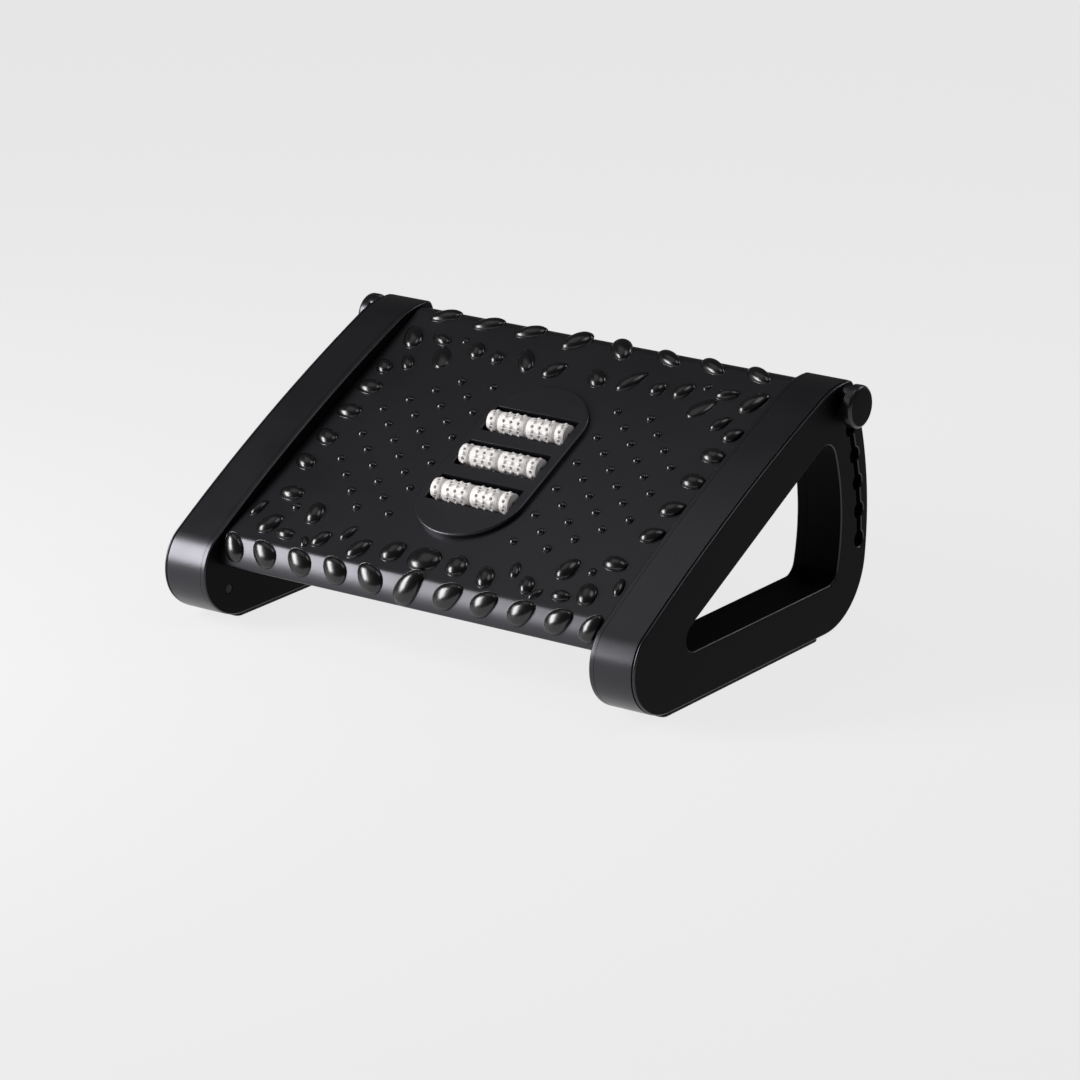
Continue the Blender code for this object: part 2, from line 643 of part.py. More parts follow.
def dome(bm, matrix, length, width, height, sides, shoulder=True):
    """A low boss that rises to a point over a ring sunk in the surface, with or without a shoulder."""
    levels = [(-PEBBLE_SINK, 1.0)]
    if shoulder:
        levels.append((height * SHOULDER_RISE_SHARE, SHOULDER_WIDTH_SHARE))
    rings = []
    for level, share in levels:
        ring = []
        for index in range(sides):
            angle = math.tau * (index + 1 / 2) / sides
            point = Vector((length / 2 * share * math.cos(angle), width / 2 * share * math.sin(angle), level))
            ring.append(bm.verts.new(matrix @ point))
        rings.append((ring, [bm.edges.new((a, b)) for a, b in zip(ring, ring[1:] + ring[:1])]))
    bm.faces.new(rings[0][0])
    if shoulder:
        bmesh.ops.bridge_loops(bm, edges=rings[0][1] + rings[1][1])
    top = bm.verts.new(matrix @ Vector((0, 0, height)))
    ring = rings[-1][0]
    for a, b in zip(ring, ring[1:] + ring[:1]):
        bm.faces.new((a, b, top))


def on_top(x, y):
    return Matrix.Translation((x, y, TOP_ABOVE_PIVOT))


def on_roll(x, roll, radius, angle):
    """Placement on a rolled edge, with +Z square to the surface there."""
    y, z = roll_point(roll, radius, angle)
    return Matrix.Translation((x, y, z)) @ Matrix.Rotation(-angle, 4, "X")


def both_sides(share):
    return (-1, 1) if share else (1,)


def pebble(bm, base, side, length, width, turn, height):
    """One pebble, mirrored with its turn on the left side."""
    spin = Matrix.Rotation(side * math.radians(turn), 4, "Z")
    dome(bm, base @ spin, length * PEBBLE_LENGTH, width * PEBBLE_LENGTH, height * PEBBLE_HEIGHT, PEBBLE_SIDES)


def massage_field(parent):
    """All pebbles and dots, which are moulded in one with the board."""
    bm = bmesh.new()
    for across, along, length, width, turn, height in PEBBLE_SHARES + (CENTRE_PEBBLE_SHARES,):
        for side in both_sides(across):
            place = on_top(side * across * BOARD_HALF_WIDTH, along * BOARD_LENGTH)
            pebble(bm, place, side, length, width, turn, height)
    for across, length, width, turn, height in REAR_ROW_SHARES:
        for side in both_sides(across):
            place = on_top(side * across * BOARD_HALF_WIDTH, REAR_ROLL[0] - REAR_ROW_AHEAD)
            pebble(bm, place, side, length, width, turn, height)
    for across, length, width, turn, height in FRONT_ROW_SHARES + (FRONT_CENTRE_SHARES,):
        for side in both_sides(across):
            x = side * across * BOARD_HALF_WIDTH
            place = on_roll(x, FRONT_ROLL, FRONT_ROLL_RADIUS, -FRONT_ROW_PAST_EDGE / FRONT_ROLL_RADIUS)
            pebble(bm, place, side, length, width, turn, height)
    for row in range(DOT_ROWS):
        offset = (row - DOT_ROWS // 2) * DOT_PITCH
        for column in range(DOT_COLUMNS):
            x = DOT_FIRST + column * DOT_PITCH
            if (row + column) % 2 == 0 and math.hypot(x, offset) < DOT_FIELD_RADIUS:
                for side in (-1, 1):
                    place = on_top(side * x, PANEL_CENTRE + offset)
                    dome(bm, place, 2 * DOT_RADIUS, 2 * DOT_RADIUS, DOT_HEIGHT, DOT_SIDES, False)
    return add_tool(bm, "massage_field", parent)


def footboard(parent):
    """The moulded board: rolled edges, ribs, pebbles and a raised panel with three windows."""
    outer, inner = board_section(), board_section(BOARD_THICK, 5)
    half = BOARD_HALF_WIDTH
    section = outer + inner[::-1]
    board = add_object(loft([(-half, section), (half, section)]), "footboard", board_black(), parent)
    ribs = bmesh.new()
    for place in [half - RIB_THICK] + [share * half for share in INNER_RIB_SHARES]:
        for start in (place, -place - RIB_THICK):
            outline = rib_outline(RIB_BOTTOM)
            loft([(start, outline), (start + RIB_THICK, outline)], ribs)
    combine(board, add_tool(ribs, "long_ribs", parent), "UNION")
    under = TOP_ABOVE_PIVOT - BOARD_THICK / 2
    cross = bmesh.new()
    for share in CROSS_RIB_SHARES:
        y = share * BOARD_LENGTH
        box(RIB_THICK / 2 - half, half - RIB_THICK / 2, y, y + RIB_THICK, -CROSS_RIB_BOTTOM, under, cross)
    combine(board, add_tool(cross, "cross_ribs", parent), "UNION")
    panel_edge = stadium(PANEL_HALF_WIDTH, PANEL_LENGTH)
    panel_top = stadium(PANEL_HALF_WIDTH - BOARD_THICK / 2, PANEL_LENGTH - BOARD_THICK)
    panel = stack([(under, panel_edge), (PANEL_TOP - BOARD_THICK / 2, panel_edge), (PANEL_TOP, panel_top)])
    combine(board, add_tool(panel, "panel", parent), "UNION")
    hollow_edge = stadium(PANEL_HALF_WIDTH - BOARD_THICK, PANEL_LENGTH - 2 * BOARD_THICK)
    hollow = stack([(TOP_ABOVE_PIVOT - BOARD_THICK - OVERRUN, hollow_edge), (PANEL_TOP - BOARD_THICK, hollow_edge)])
    combine(board, add_tool(hollow, "panel_hollow", parent), "DIFFERENCE")
    windows = bmesh.new()
    for place in ROW_PLACES:
        edge = rounded_window(place, WINDOW_HALF_WIDTH, WINDOW_LENGTH, WINDOW_CORNER)
        stack([(TOP_ABOVE_PIVOT - BOARD_THICK, edge), (PANEL_TOP + OVERRUN, edge)], windows)
    combine(board, add_tool(windows, "windows", parent), "DIFFERENCE")
    grooves = bmesh.new()
    reach = PANEL_HALF_WIDTH - BOARD_THICK
    for place in ROW_PLACES:
        pin(-reach, reach, (place, AXLE_Z), AXLE_RADIUS + FIT, SMALL_STEPS, grooves)
    combine(board, add_tool(grooves, "axle_grooves", parent), "DIFFERENCE")
    combine(board, massage_field(parent), "UNION")
    bosses = bmesh.new()
    for x, y in tray_screw_places():
        ring = circle((x, y), SCREW_HEAD_RADIUS, SCREW_STEPS)
        stack([(FLANGE_TOP + FIT, ring), (under, ring)], bosses)
    combine(board, add_tool(bosses, "tray_bosses", parent), "UNION")
    bores = pin(-half - OVERRUN, half + OVERRUN, (0, 0), FRONT_ROD_RADIUS + FIT)
    pin(-half - OVERRUN, half + OVERRUN, (ROD_Y, -ROD_DROP), REAR_ROD_RADIUS + FIT, SMALL_STEPS, bores)
    combine(board, add_tool(bores, "rod_bores", parent), "DIFFERENCE")
    holes = bmesh.new()
    for x, y in tray_screw_places():
        ring = circle((x, y), SCREW_RADIUS + FIT, SCREW_STEPS)
        stack([(FLANGE_TOP - OVERRUN, ring), (TOP_ABOVE_PIVOT - BOARD_THICK / 4, ring)], holes)
    combine(board, add_tool(holes, "tray_screw_holes", parent), "DIFFERENCE")
    return board


def tray_screw_places():
    """Places (x, y) of the four screws that hold the roller tray under the board."""
    x = PANEL_HALF_WIDTH + TRAY_FLANGE / 2
    y = WINDOW_PITCH + WINDOW_LENGTH / 2
    return [(side * x, PANEL_CENTRE + end * y) for side in (-1, 1) for end in (-1, 1)]


def tray_pocket(end):
    """Outline (x, y) of the half-round pocket beyond the last roller well at one end."""
    straight = PANEL_LENGTH / 2 - PANEL_HALF_WIDTH
    radius = TRAY_HALF_WIDTH - TRAY_WALL
    wall = WINDOW_PITCH + WINDOW_LENGTH / 2 + TRAY_WALL - straight
    start = math.asin(wall / radius)
    half_round = arc((0, straight), radius, start, math.pi - start, 8)
    return [(x, PANEL_CENTRE + end * y) for x, y in half_round]


def roller_tray(parent):
    """Tray under the panel: a well for each row of rollers, with notches that carry the axles."""
    floor_top = AXLE_Z - ROLLER_RADIUS - TRAY_FLOOR_GAP
    wall_top = PANEL_TOP - BOARD_THICK - FIT
    wide = TRAY_HALF_WIDTH
    body = stadium(wide, TRAY_LENGTH)
    tray = add_object(stack([(floor_top - TRAY_WALL, body), (wall_top, body)]), "roller_tray", board_black(), parent)
    reach = WINDOW_PITCH + WINDOW_LENGTH / 2 + 2 * SCREW_HEAD_RADIUS
    edge = PANEL_HALF_WIDTH + TRAY_FLANGE
    flange = box(-edge, edge, PANEL_CENTRE - reach, PANEL_CENTRE + reach, FLANGE_TOP - TRAY_FLANGE_THICK, FLANGE_TOP)
    combine(tray, add_tool(flange, "tray_flange", parent), "UNION")
    wells = bmesh.new()
    half_well = WINDOW_LENGTH / 2 + FIT
    for place in ROW_PLACES:
        box(TRAY_WALL - wide, wide - TRAY_WALL, place - half_well, place + half_well, floor_top,
            wall_top + OVERRUN, wells)
    for end in (-1, 1):
        pocket = tray_pocket(end)
        stack([(floor_top, pocket), (wall_top + OVERRUN, pocket)], wells)
    combine(tray, add_tool(wells, "tray_wells", parent), "DIFFERENCE")
    notches = bmesh.new()
    slack = AXLE_RADIUS + FIT
    for place in ROW_PLACES:
        outline = arc((place, AXLE_Z), slack, math.pi, math.tau, 8)
        outline += [(place + slack, wall_top + OVERRUN), (place - slack, wall_top + OVERRUN)]
        loft([(-wide - OVERRUN, outline), (wide + OVERRUN, outline)], notches)
    combine(tray, add_tool(notches, "axle_notches", parent), "DIFFERENCE")
    holes = bmesh.new()
    for x, y in tray_screw_places():
        ring = circle((x, y), SCREW_RADIUS + FIT, SCREW_STEPS)
        stack([(FLANGE_TOP - TRAY_FLANGE_THICK - OVERRUN, ring), (FLANGE_TOP + OVERRUN, ring)], holes)
    combine(tray, add_tool(holes, "flange_holes", parent), "DIFFERENCE")
    return tray


def tray_screws(parent):
    names = ("front_left", "rear_left", "front_right", "rear_right")
    for name, (x, y) in zip(names, tray_screw_places()):
        seat = FLANGE_TOP - TRAY_FLANGE_THICK - FIT
        bm = stack(screw_sections(-SCREW_HEAD, 0, TOP_ABOVE_PIVOT - BOARD_THICK / 2 - seat))
        add_object(bm, f"tray_screw_{name}", steel(), parent, (x, y, seat))


def roller_spans():
    """Name, start and end (x) of the rollers that share one axle."""
    main, end, gap = MAIN_ROLLER, END_ROLLER, ROLLER_GAP
    return (("left_end", -main - end - 3 * gap, -main - 3 * gap, END_RINGS),
            ("left", -main - gap, -gap, MAIN_RINGS),
            ("right", gap, main + gap, MAIN_RINGS),
            ("right_end", main + 3 * gap, main + end + 3 * gap, END_RINGS))


def roller(name, start, end, rings, place, parent):
    """A roller with pointed nubs, which stand on every second face of its barrel."""
    core = ROLLER_RADIUS - NUB_HEIGHT
    middle = (start + end) / 2
    first = -rings * NUB_PITCH / 2
    stations = [first + NUB_PITCH * index for index in range(rings + 1)]
    rim = (end - start) / 2
    sections = [(-rim, circle((0, 0), core, NUB_ROWS))]
    sections += [(x, circle((0, 0), core, NUB_ROWS)) for x in stations]
    sections.append((rim, circle((0, 0), core, NUB_ROWS)))
    bm = loft(sections)
    bm.faces.ensure_lookup_table()
    raised = []
    for face in bm.faces:
        centre = face.calc_center_median()
        across = (centre.x - first) / NUB_PITCH
        if 0 < across < rings and abs(centre.x) < rim - FIT and len(face.verts) == 4:
            row = math.floor(math.atan2(centre.z, centre.y) / (math.tau / NUB_ROWS))
            if (math.floor(across) + row) % 2 == 0:
                raised.append(face)
    nubs = bmesh.ops.extrude_discrete_faces(bm, faces=raised)["faces"]
    for face in nubs:
        centre = face.calc_center_median()
        outward = Vector((0, centre.y, centre.z)).normalized()
        reach = ROLLER_RADIUS - Vector((0, centre.y, centre.z)).length
        for vert in face.verts:
            vert.co = centre + (vert.co - centre) * NUB_TAPER_SHARE + outward * reach
    made = add_object(bm, name, white_nylon(), parent, (middle, place, AXLE_Z))
    bore = pin(-rim - OVERRUN, rim + OVERRUN, (0, 0), AXLE_RADIUS + FIT, NUB_ROWS)
    combine(made, add_tool(bore, name + "_bore", parent, (middle, place, AXLE_Z)), "DIFFERENCE")
    return made


def rollers_and_axles(parent):
    for row, place in zip(ROW_NAMES, ROW_PLACES):
        for name, start, end, rings in roller_spans():
            roller(f"roller_{row}_{name}", start, end, rings, place, parent)
        reach = TRAY_HALF_WIDTH - FIT
        axle = pin(-reach, reach, (0, 0), AXLE_RADIUS)
        add_object(axle, f"axle_{row}", steel(), parent, (0, place, AXLE_Z))


def rear_rod(parent):
    """Steel rod through the rear edge, stepped down to a thread at both ends."""
    place = (0, 0)
    body, thread = circle(place, REAR_ROD_RADIUS, SMALL_STEPS), circle(place, THREAD_RADIUS, SMALL_STEPS)
    shoulder = INNER_X + RIM_SEAM
    end = KNOB_START + INSERT_LENGTH + THREAD_END_GAP / 2
    bm = loft([(-end, thread), (-shoulder, thread), (-shoulder, body), (shoulder, body), (shoulder, thread),
               (end, thread)])
    add_object(bm, "rear_rod", steel(), parent, (0, ROD_Y, -ROD_DROP))


def slide_bush(side, parent):
    """Bush on the rear rod that runs in the inner shell's slot."""
    sign = -1 if side == "left" else 1
    start, end = BOARD_HALF_WIDTH + FIT, INNER_X + RIM_SEAM - FIT
    big = circle((0, 0), BUSH_RADIUS, SMALL_STEPS)
    bm = loft([(sign * start, big), (sign * end, big)])
    bush = add_object(bm, f"slide_bush_{side}", white_nylon(), parent, (0, ROD_Y, -ROD_DROP))
    bore = pin(sign * (start - OVERRUN), sign * (end + OVERRUN), (0, 0), REAR_ROD_RADIUS + FIT)
    combine(bush, add_tool(bore, f"bush_bore_{side}", parent, (0, ROD_Y, -ROD_DROP)), "DIFFERENCE")


def knob(side, parent):
    """Clamping knob: a bevelled cap on a lobed grip, with a nose that bears on the frame."""
    sign = -1 if side == "left" else 1
    place = (0, ROD_Y, -ROD_DROP)
    cap_start = KNOB_END - KNOB_CAP
    full, drawn_in = circle((0, 0), KNOB_RADIUS, ROUND_STEPS), circle((0, 0), KNOB_RADIUS - KNOB_BEVEL, ROUND_STEPS)
    bm = loft([(sign * cap_start, full), (sign * (KNOB_END - KNOB_BEVEL), full), (sign * KNOB_END, drawn_in)])
    cap = add_object(bm, f"knob_{side}", black_shell(), parent, place)
    hub = pin(sign * KNOB_START, sign * (cap_start + OVERLAP), (0, 0), HUB_RADIUS)
    combine(cap, add_tool(hub, f"hub_{side}", parent, place), "UNION")
    lobes = bmesh.new()
    reach = KNOB_RADIUS - LOBE_RADIUS
    grip_start = KNOB_START + (cap_start - KNOB_START) / 4
    for index in range(LOBES):
        angle = LOBE_TURN + math.tau * index / LOBES
        centre = (reach * math.cos(angle), reach * math.sin(angle))
        pin(sign * grip_start, sign * (cap_start + OVERLAP), centre, LOBE_RADIUS, SCREW_STEPS, lobes)
    combine(cap, add_tool(lobes, f"lobes_{side}", parent, place), "UNION")
    depth = KNOB_START + INSERT_LENGTH + FIT
    bore = pin(sign * (KNOB_START - OVERRUN), sign * depth, (0, 0), INSERT_RADIUS + FIT)
    combine(cap, add_tool(bore, f"insert_bore_{side}", parent, place), "DIFFERENCE")
    clear = pin(sign * (depth - OVERLAP), sign * (depth + THREAD_END_GAP), (0, 0), THREAD_RADIUS + FIT)
    combine(cap, add_tool(clear, f"thread_bore_{side}", parent, place), "DIFFERENCE")


def knob_insert(side, parent):
    """Brass insert that the knob is moulded round."""
    sign = -1 if side == "left" else 1
    place = (0, ROD_Y, -ROD_DROP)
    bm = pin(sign * KNOB_START, sign * (KNOB_START + INSERT_LENGTH), (0, 0), INSERT_RADIUS)
    insert = add_object(bm, f"knob_insert_{side}", brass(), parent, place)
    bore = pin(sign * (KNOB_START - OVERRUN), sign * (KNOB_START + INSERT_LENGTH + OVERRUN), (0, 0),
               THREAD_RADIUS + FIT)
    combine(insert, add_tool(bore, f"insert_thread_{side}", parent, place), "DIFFERENCE")


clear_scene()
for hand in ("left", "right"):
    frame_inner(hand)
    frame_outer(hand)
    foot_strip(hand)
    frame_screws(hand)
front_rod()

board_hinge = bpy.data.objects.new("board_hinge", None)
bpy.context.collection.objects.link(board_hinge)
board_hinge.location = PIVOT
board_hinge.rotation_euler.x = TILT

footboard(board_hinge)
roller_tray(board_hinge)
tray_screws(board_hinge)
rollers_and_axles(board_hinge)
rear_rod(board_hinge)
for hand in ("left", "right"):
    slide_bush(hand, board_hinge)
    knob(hand, board_hinge)
    knob_insert(hand, board_hinge)
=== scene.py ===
"""A black plastic footrest: two side frames, a tilting board with massage pebbles, and white rollers."""
import json
import math

import bmesh
import bpy
from mathutils import Matrix, Quaternion, Vector


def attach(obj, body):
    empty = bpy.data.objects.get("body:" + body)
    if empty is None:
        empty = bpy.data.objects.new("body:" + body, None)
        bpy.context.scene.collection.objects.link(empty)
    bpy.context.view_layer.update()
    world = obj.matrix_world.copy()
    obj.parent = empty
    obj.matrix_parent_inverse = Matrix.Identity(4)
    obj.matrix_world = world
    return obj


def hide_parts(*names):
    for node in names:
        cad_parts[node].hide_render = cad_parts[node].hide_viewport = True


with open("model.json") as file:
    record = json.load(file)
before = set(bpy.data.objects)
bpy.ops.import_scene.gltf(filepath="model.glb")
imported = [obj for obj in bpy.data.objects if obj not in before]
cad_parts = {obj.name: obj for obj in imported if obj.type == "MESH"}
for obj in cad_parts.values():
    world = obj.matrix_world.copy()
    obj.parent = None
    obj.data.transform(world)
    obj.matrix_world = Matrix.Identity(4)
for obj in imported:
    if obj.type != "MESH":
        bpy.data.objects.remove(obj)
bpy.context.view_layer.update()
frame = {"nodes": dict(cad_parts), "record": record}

# The camera stands in front of the right-hand frame and a little above the footrest. It has a long
# lens, so that parallel edges stay nearly parallel.
camera_lens = bpy.data.cameras.new("camera")
camera_lens.sensor_fit = "HORIZONTAL"
camera_lens.sensor_width = 36
camera_lens.lens = 163.2
camera_lens.clip_end = 200
camera = bpy.data.objects.new("camera", camera_lens)
bpy.context.scene.collection.objects.link(camera)
camera.location = (2.0605, -2.9088, 1.2163)
camera.rotation_euler = (math.radians(72.099), math.radians(-0.145), math.radians(35.063))
bpy.context.scene.camera = camera
bpy.context.scene.view_settings.view_transform = "Standard"

# The studio is a pale floor in a dim grey room. A long softbox leans in front of the footrest and to its
# left, a smaller one hangs above it, and a pale card over its left side gives the board's front and the
# right-hand frame a soft sheen. A weak light behind it, on the right, picks out its rear edges.


def linear(hex_colour):
    """An sRGB hex colour as the linear values that a shader takes."""
    channels = [int(hex_colour[start:start + 2], 16) / 255 for start in (1, 3, 5)]
    return [c / 12.92 if c <= 0.04045 else ((c + 0.055) / 1.055) ** 2.4 for c in channels] + [1]


def add_node(tree, kind, inputs=None, **settings):
    """Adds a node with its settings; an input takes a value, or a socket that it is linked to."""
    node = tree.nodes.new(kind)
    for name, value in settings.items():
        setattr(node, name, value)
    for name, value in (inputs or {}).items():
        if isinstance(value, bpy.types.NodeSocket):
            tree.links.new(value, node.inputs[name])
        else:
            node.inputs[name].default_value = value
    return node


def new_material(name, colour, roughness, **shader_inputs):
    """A Principled material; the caller adds the nodes of its grain."""
    material = bpy.data.materials.new(name)
    material.use_nodes = True
    shader = material.node_tree.nodes["Principled BSDF"]
    shader.inputs["Base Color"].default_value = linear(colour)
    shader.inputs["Roughness"].default_value = roughness
    for socket, value in shader_inputs.items():
        shader.inputs[socket.replace("_", " ")].default_value = value
    return material, material.node_tree, shader


studio_grey = bpy.data.worlds.new("studio_grey")
studio_grey.use_nodes = True
studio_grey.node_tree.nodes["Background"].inputs["Color"].default_value = linear("#eeeeee")
studio_grey.node_tree.nodes["Background"].inputs["Strength"].default_value = 0.09
bpy.context.scene.world = studio_grey

for lamp_name, watts, width, height, lean, place, aim in (
        ("key_softbox", 22.0, 0.44, 0.94, 36, (-0.90, -0.90, 0.60), (-0.15, -0.12, 0.08)),
        ("top_softbox", 1.4, 0.50, 0.50, 0, (0.35, 0.10, 1.15), (0, 0, 0.08)),
        ("pale_card", 0.9, 0.75, 0.80, 0, (-0.45, -0.10, 1.25), (-0.45, -0.10, 0)),
        ("edge_light", 2.4, 0.40, 0.30, 0, (0.75, 1.30, 0.95), (0.2, 0.0, 0.1))):
    lamp = bpy.data.lights.new(lamp_name, "AREA")
    lamp.shape = "RECTANGLE"
    lamp.energy, lamp.size, lamp.size_y = watts, width, height
    lamp_object = bpy.data.objects.new(lamp_name, lamp)
    bpy.context.scene.collection.objects.link(lamp_object)
    lamp_object.location = place
    facing = (Vector(aim) - Vector(place)).to_track_quat("-Z", "Y")
    lamp_object.rotation_euler = (facing @ Quaternion((0, 0, 1), math.radians(lean))).to_euler()

# Pale seamless paper. It glows a little for the camera and in reflections, so that it stays even right
# to the edges of the picture, and it still takes the footrest's shadow.
floor_mesh = bmesh.new()
bmesh.ops.create_grid(floor_mesh, x_segments=1, y_segments=1, size=40)
floor_data = bpy.data.meshes.new("floor")
floor_mesh.to_mesh(floor_data)
floor = bpy.data.objects.new("floor", floor_data)
bpy.context.scene.collection.objects.link(floor)
floor.location.z = -0.0002
paper, paper_nodes, paper_shader = new_material("seamless_paper", "#eeeeee", 0.9, Specular_IOR_Level=0.0)
paper_path = add_node(paper_nodes, "ShaderNodeLightPath").outputs
paper_mirrored = add_node(paper_nodes, "ShaderNodeMath", {
    0: paper_path["Is Glossy Ray"], 1: paper_path["Is Transmission Ray"]}, operation="MAXIMUM")
paper_seen = add_node(paper_nodes, "ShaderNodeMath", {
    0: paper_path["Is Camera Ray"], 1: paper_mirrored.outputs["Value"]}, operation="MAXIMUM")
paper_share = add_node(paper_nodes, "ShaderNodeMath", {0: paper_seen.outputs["Value"], 1: 0.88}, operation="MULTIPLY")
paper_glow = add_node(paper_nodes, "ShaderNodeEmission", {"Color": linear("#f2f2f2"), "Strength": 1.0})
paper_mix = add_node(paper_nodes, "ShaderNodeMixShader", {
    0: paper_share.outputs["Value"], 1: paper_shader.outputs["BSDF"], 2: paper_glow.outputs["Emission"]})
paper_nodes.links.new(paper_mix.outputs["Shader"], paper_nodes.nodes["Material Output"].inputs["Surface"])
floor_data.materials.append(paper)

# Side frames. Each is two ABS mouldings screwed together from the inside: a thin inner plate, and a
# deep outer tray whose outer edge is rounded and has a fine groove along its rim.


def verts_of(geometry):
    """The vertices among the elements that a bmesh operator returns."""
    return [item for item in geometry if isinstance(item, bmesh.types.BMVert)]


def bend(bm, corner, centre, sweep, steps):
    """Carries an outline on round a centre (y, z) from its last point, and returns its new last point."""
    turned = bmesh.ops.spin(bm, geom=[corner], cent=(0, *centre), axis=(1, 0, 0), angle=sweep, steps=steps)
    return verts_of(turned["geom_last"])[0]


def sweep(bm, profile, corners):
    """Carries a profile of (x, offset) points round an outline: arcs (centre, radius, start, end, steps)."""
    def lead(corner, angle):
        reach = corner[1] + profile[0][1]
        return Vector((0, corner[0][0] + reach * math.cos(angle), corner[0][1] + reach * math.sin(angle)))

    centre, radius, start = corners[0][:3]
    row = [bm.verts.new((x, centre[0] + (radius + offset) * math.cos(start),
                         centre[1] + (radius + offset) * math.sin(start))) for x, offset in profile]
    line = row + [bm.edges.new(pair) for pair in zip(row, row[1:])]
    for corner, following in zip(corners, corners[1:] + corners[:1]):
        centre, _, start, end, steps = corner
        line = bmesh.ops.spin(bm, geom=line, cent=(0, *centre), axis=(1, 0, 0), angle=end - start,
                              steps=steps)["geom_last"]
        straight = lead(following, following[2]) - lead(corner, end)
        if straight.length > 1e-5:
            edges = [item for item in line if isinstance(item, bmesh.types.BMEdge)]
            drawn = bmesh.ops.extrude_edge_only(bm, edges=edges)["geom"]
            moved = verts_of(drawn)
            bmesh.ops.translate(bm, vec=straight, verts=moved)
            line = moved + [item for item in drawn if isinstance(item, bmesh.types.BMEdge)
                            and all(vert in moved for vert in item.verts)]
    bmesh.ops.remove_doubles(bm, verts=bm.verts, dist=1e-6)


def fill(bm, x):
    """Closes the flat face at a place across, between all the open edges that lie there."""
    edges = [edge for edge in bm.edges if edge.is_boundary and all(abs(vert.co.x - x) < 1e-6 for vert in edge.verts)]
    bmesh.ops.triangle_fill(bm, edges=edges, use_beauty=True)


def finished(bm, name, material, body, replaced=(), sharp=35, place=None):
    """Turns a shape into a piece that rides on a body, shaded smooth up to its sharp edges."""
    if place is not None:
        bm.transform(place)
    bmesh.ops.remove_doubles(bm, verts=bm.verts, dist=1e-6)
    bmesh.ops.recalc_face_normals(bm, faces=bm.faces)
    mesh = bpy.data.meshes.new(name)
    bm.to_mesh(mesh)
    bm.free()
    mesh.shade_smooth()
    mesh.set_sharp_from_angle(angle=math.radians(sharp))
    mesh.materials.append(material)
    piece = bpy.data.objects.new(name, mesh)
    bpy.context.scene.collection.objects.link(piece)
    if body:
        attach(piece, body)
        if replaced:
            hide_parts(*replaced)
    return piece


def cut_or_join(piece, steps, sharp=35):
    """Applies Booleans (shape, operation) to a piece, and keeps its big faces flat up to rounded edges."""
    for shape, operation in steps:
        change = piece.modifiers.new(shape.name, "BOOLEAN")
        change.operation = operation
        change.object = shape
    evaluated = piece.evaluated_get(bpy.context.evaluated_depsgraph_get())
    mesh = bpy.data.meshes.new_from_object(evaluated)
    piece.modifiers.clear()
    old = piece.data
    piece.data = mesh
    mesh.name = old.name
    bpy.data.meshes.remove(old)
    mesh.shade_smooth()
    mesh.set_sharp_from_angle(angle=math.radians(sharp))
    for shape, _ in steps:
        bpy.data.objects.remove(shape, do_unlink=True)
    flat_faces = piece.modifiers.new("flat_faces", "WEIGHTED_NORMAL")
    flat_faces.keep_sharp = True


def turn(bm, profile, centre=(0, 0), steps=32):
    """Spins a profile of (x, radius) points round an axis that lies across the footrest."""
    verts = [bm.verts.new((x, centre[0], centre[1] + radius)) for x, radius in profile]
    edges = [bm.edges.new(pair) for pair in zip(verts, verts[1:])]
    bmesh.ops.spin(bm, geom=verts + edges, cent=(0, *centre), axis=(1, 0, 0), angle=math.tau, steps=steps,
                   use_merge=True)
    bmesh.ops.remove_doubles(bm, verts=bm.verts, dist=1e-6)
    return bm


def touching(big_centre, big_radius, radius, height):
    """Centre of a corner at a height that runs into a bigger arc from inside."""
    return big_centre[0] + math.sqrt((big_radius - radius) ** 2 - (height - big_centre[1]) ** 2), height


def bearing(start, end):
    return math.atan2(end[1] - start[1], end[0] - start[0])


def meeting(first, first_reach, second, second_reach, side):
    """The point at given distances from two points, on the left (1) or right (-1) of the line between them."""
    span = math.dist(first, second)
    along = (first_reach ** 2 - second_reach ** 2 + span ** 2) / (2 * span)
    away = side * math.sqrt(first_reach ** 2 - along ** 2)
    turned = bearing(first, second)
    return (first[0] + along * math.cos(turned) - away * math.sin(turned),
            first[1] + along * math.sin(turned) + away * math.cos(turned))


frame_toe, frame_front, frame_rear = (-0.113604, 0.0528), (-0.1255, 0.0421), (-0.1005, 0.083)
frame_crown = (0.1240, 0.1130)
frame_heel = touching(frame_rear, 0.260, 0.056, 0.0588)
frame_top = meeting(frame_rear, 0.253, frame_crown, 0.078, 1)
frame_slope = meeting(frame_front, 1.616, frame_crown, 1.565, -1)
frame_corners = (
    (frame_heel, 0.056, -math.pi / 2, bearing(frame_rear, frame_heel), 16),
    (frame_rear, 0.260, bearing(frame_rear, frame_heel), bearing(frame_rear, frame_top), 16),
    (frame_top, 0.007, bearing(frame_rear, frame_top), bearing(frame_crown, frame_top), 8),
    (frame_crown, 0.085, bearing(frame_crown, frame_top), bearing(frame_slope, frame_crown), 12),
    (frame_slope, 1.650, bearing(frame_slope, frame_crown), bearing(frame_slope, frame_front), 14),
    (frame_front, 0.034, bearing(frame_slope, frame_front), bearing(frame_toe, frame_front) + math.tau, 24),
    (frame_toe, 0.050, bearing(frame_toe, frame_front), -math.pi / 2, 10),
)
window_rear, window_front = (-0.0388, 0.088), (-0.0800, 0.0522)
window_heel = touching(window_rear, 0.160, 0.0125, 0.0537)
window_top = touching(window_rear, 0.160, 0.015, 0.139)
window_slope = bearing(window_front, window_top) + math.acos(0.004 / math.dist(window_front, window_top))
window_corners = (
    (window_heel, 0.0125, -math.pi / 2, bearing(window_rear, window_heel), 10),
    (window_rear, 0.160, bearing(window_rear, window_heel), bearing(window_rear, window_top), 10),
    (window_top, 0.015, bearing(window_rear, window_top), window_slope, 12),
    (window_front, 0.011, window_slope, math.pi * 1.5, 12),
)
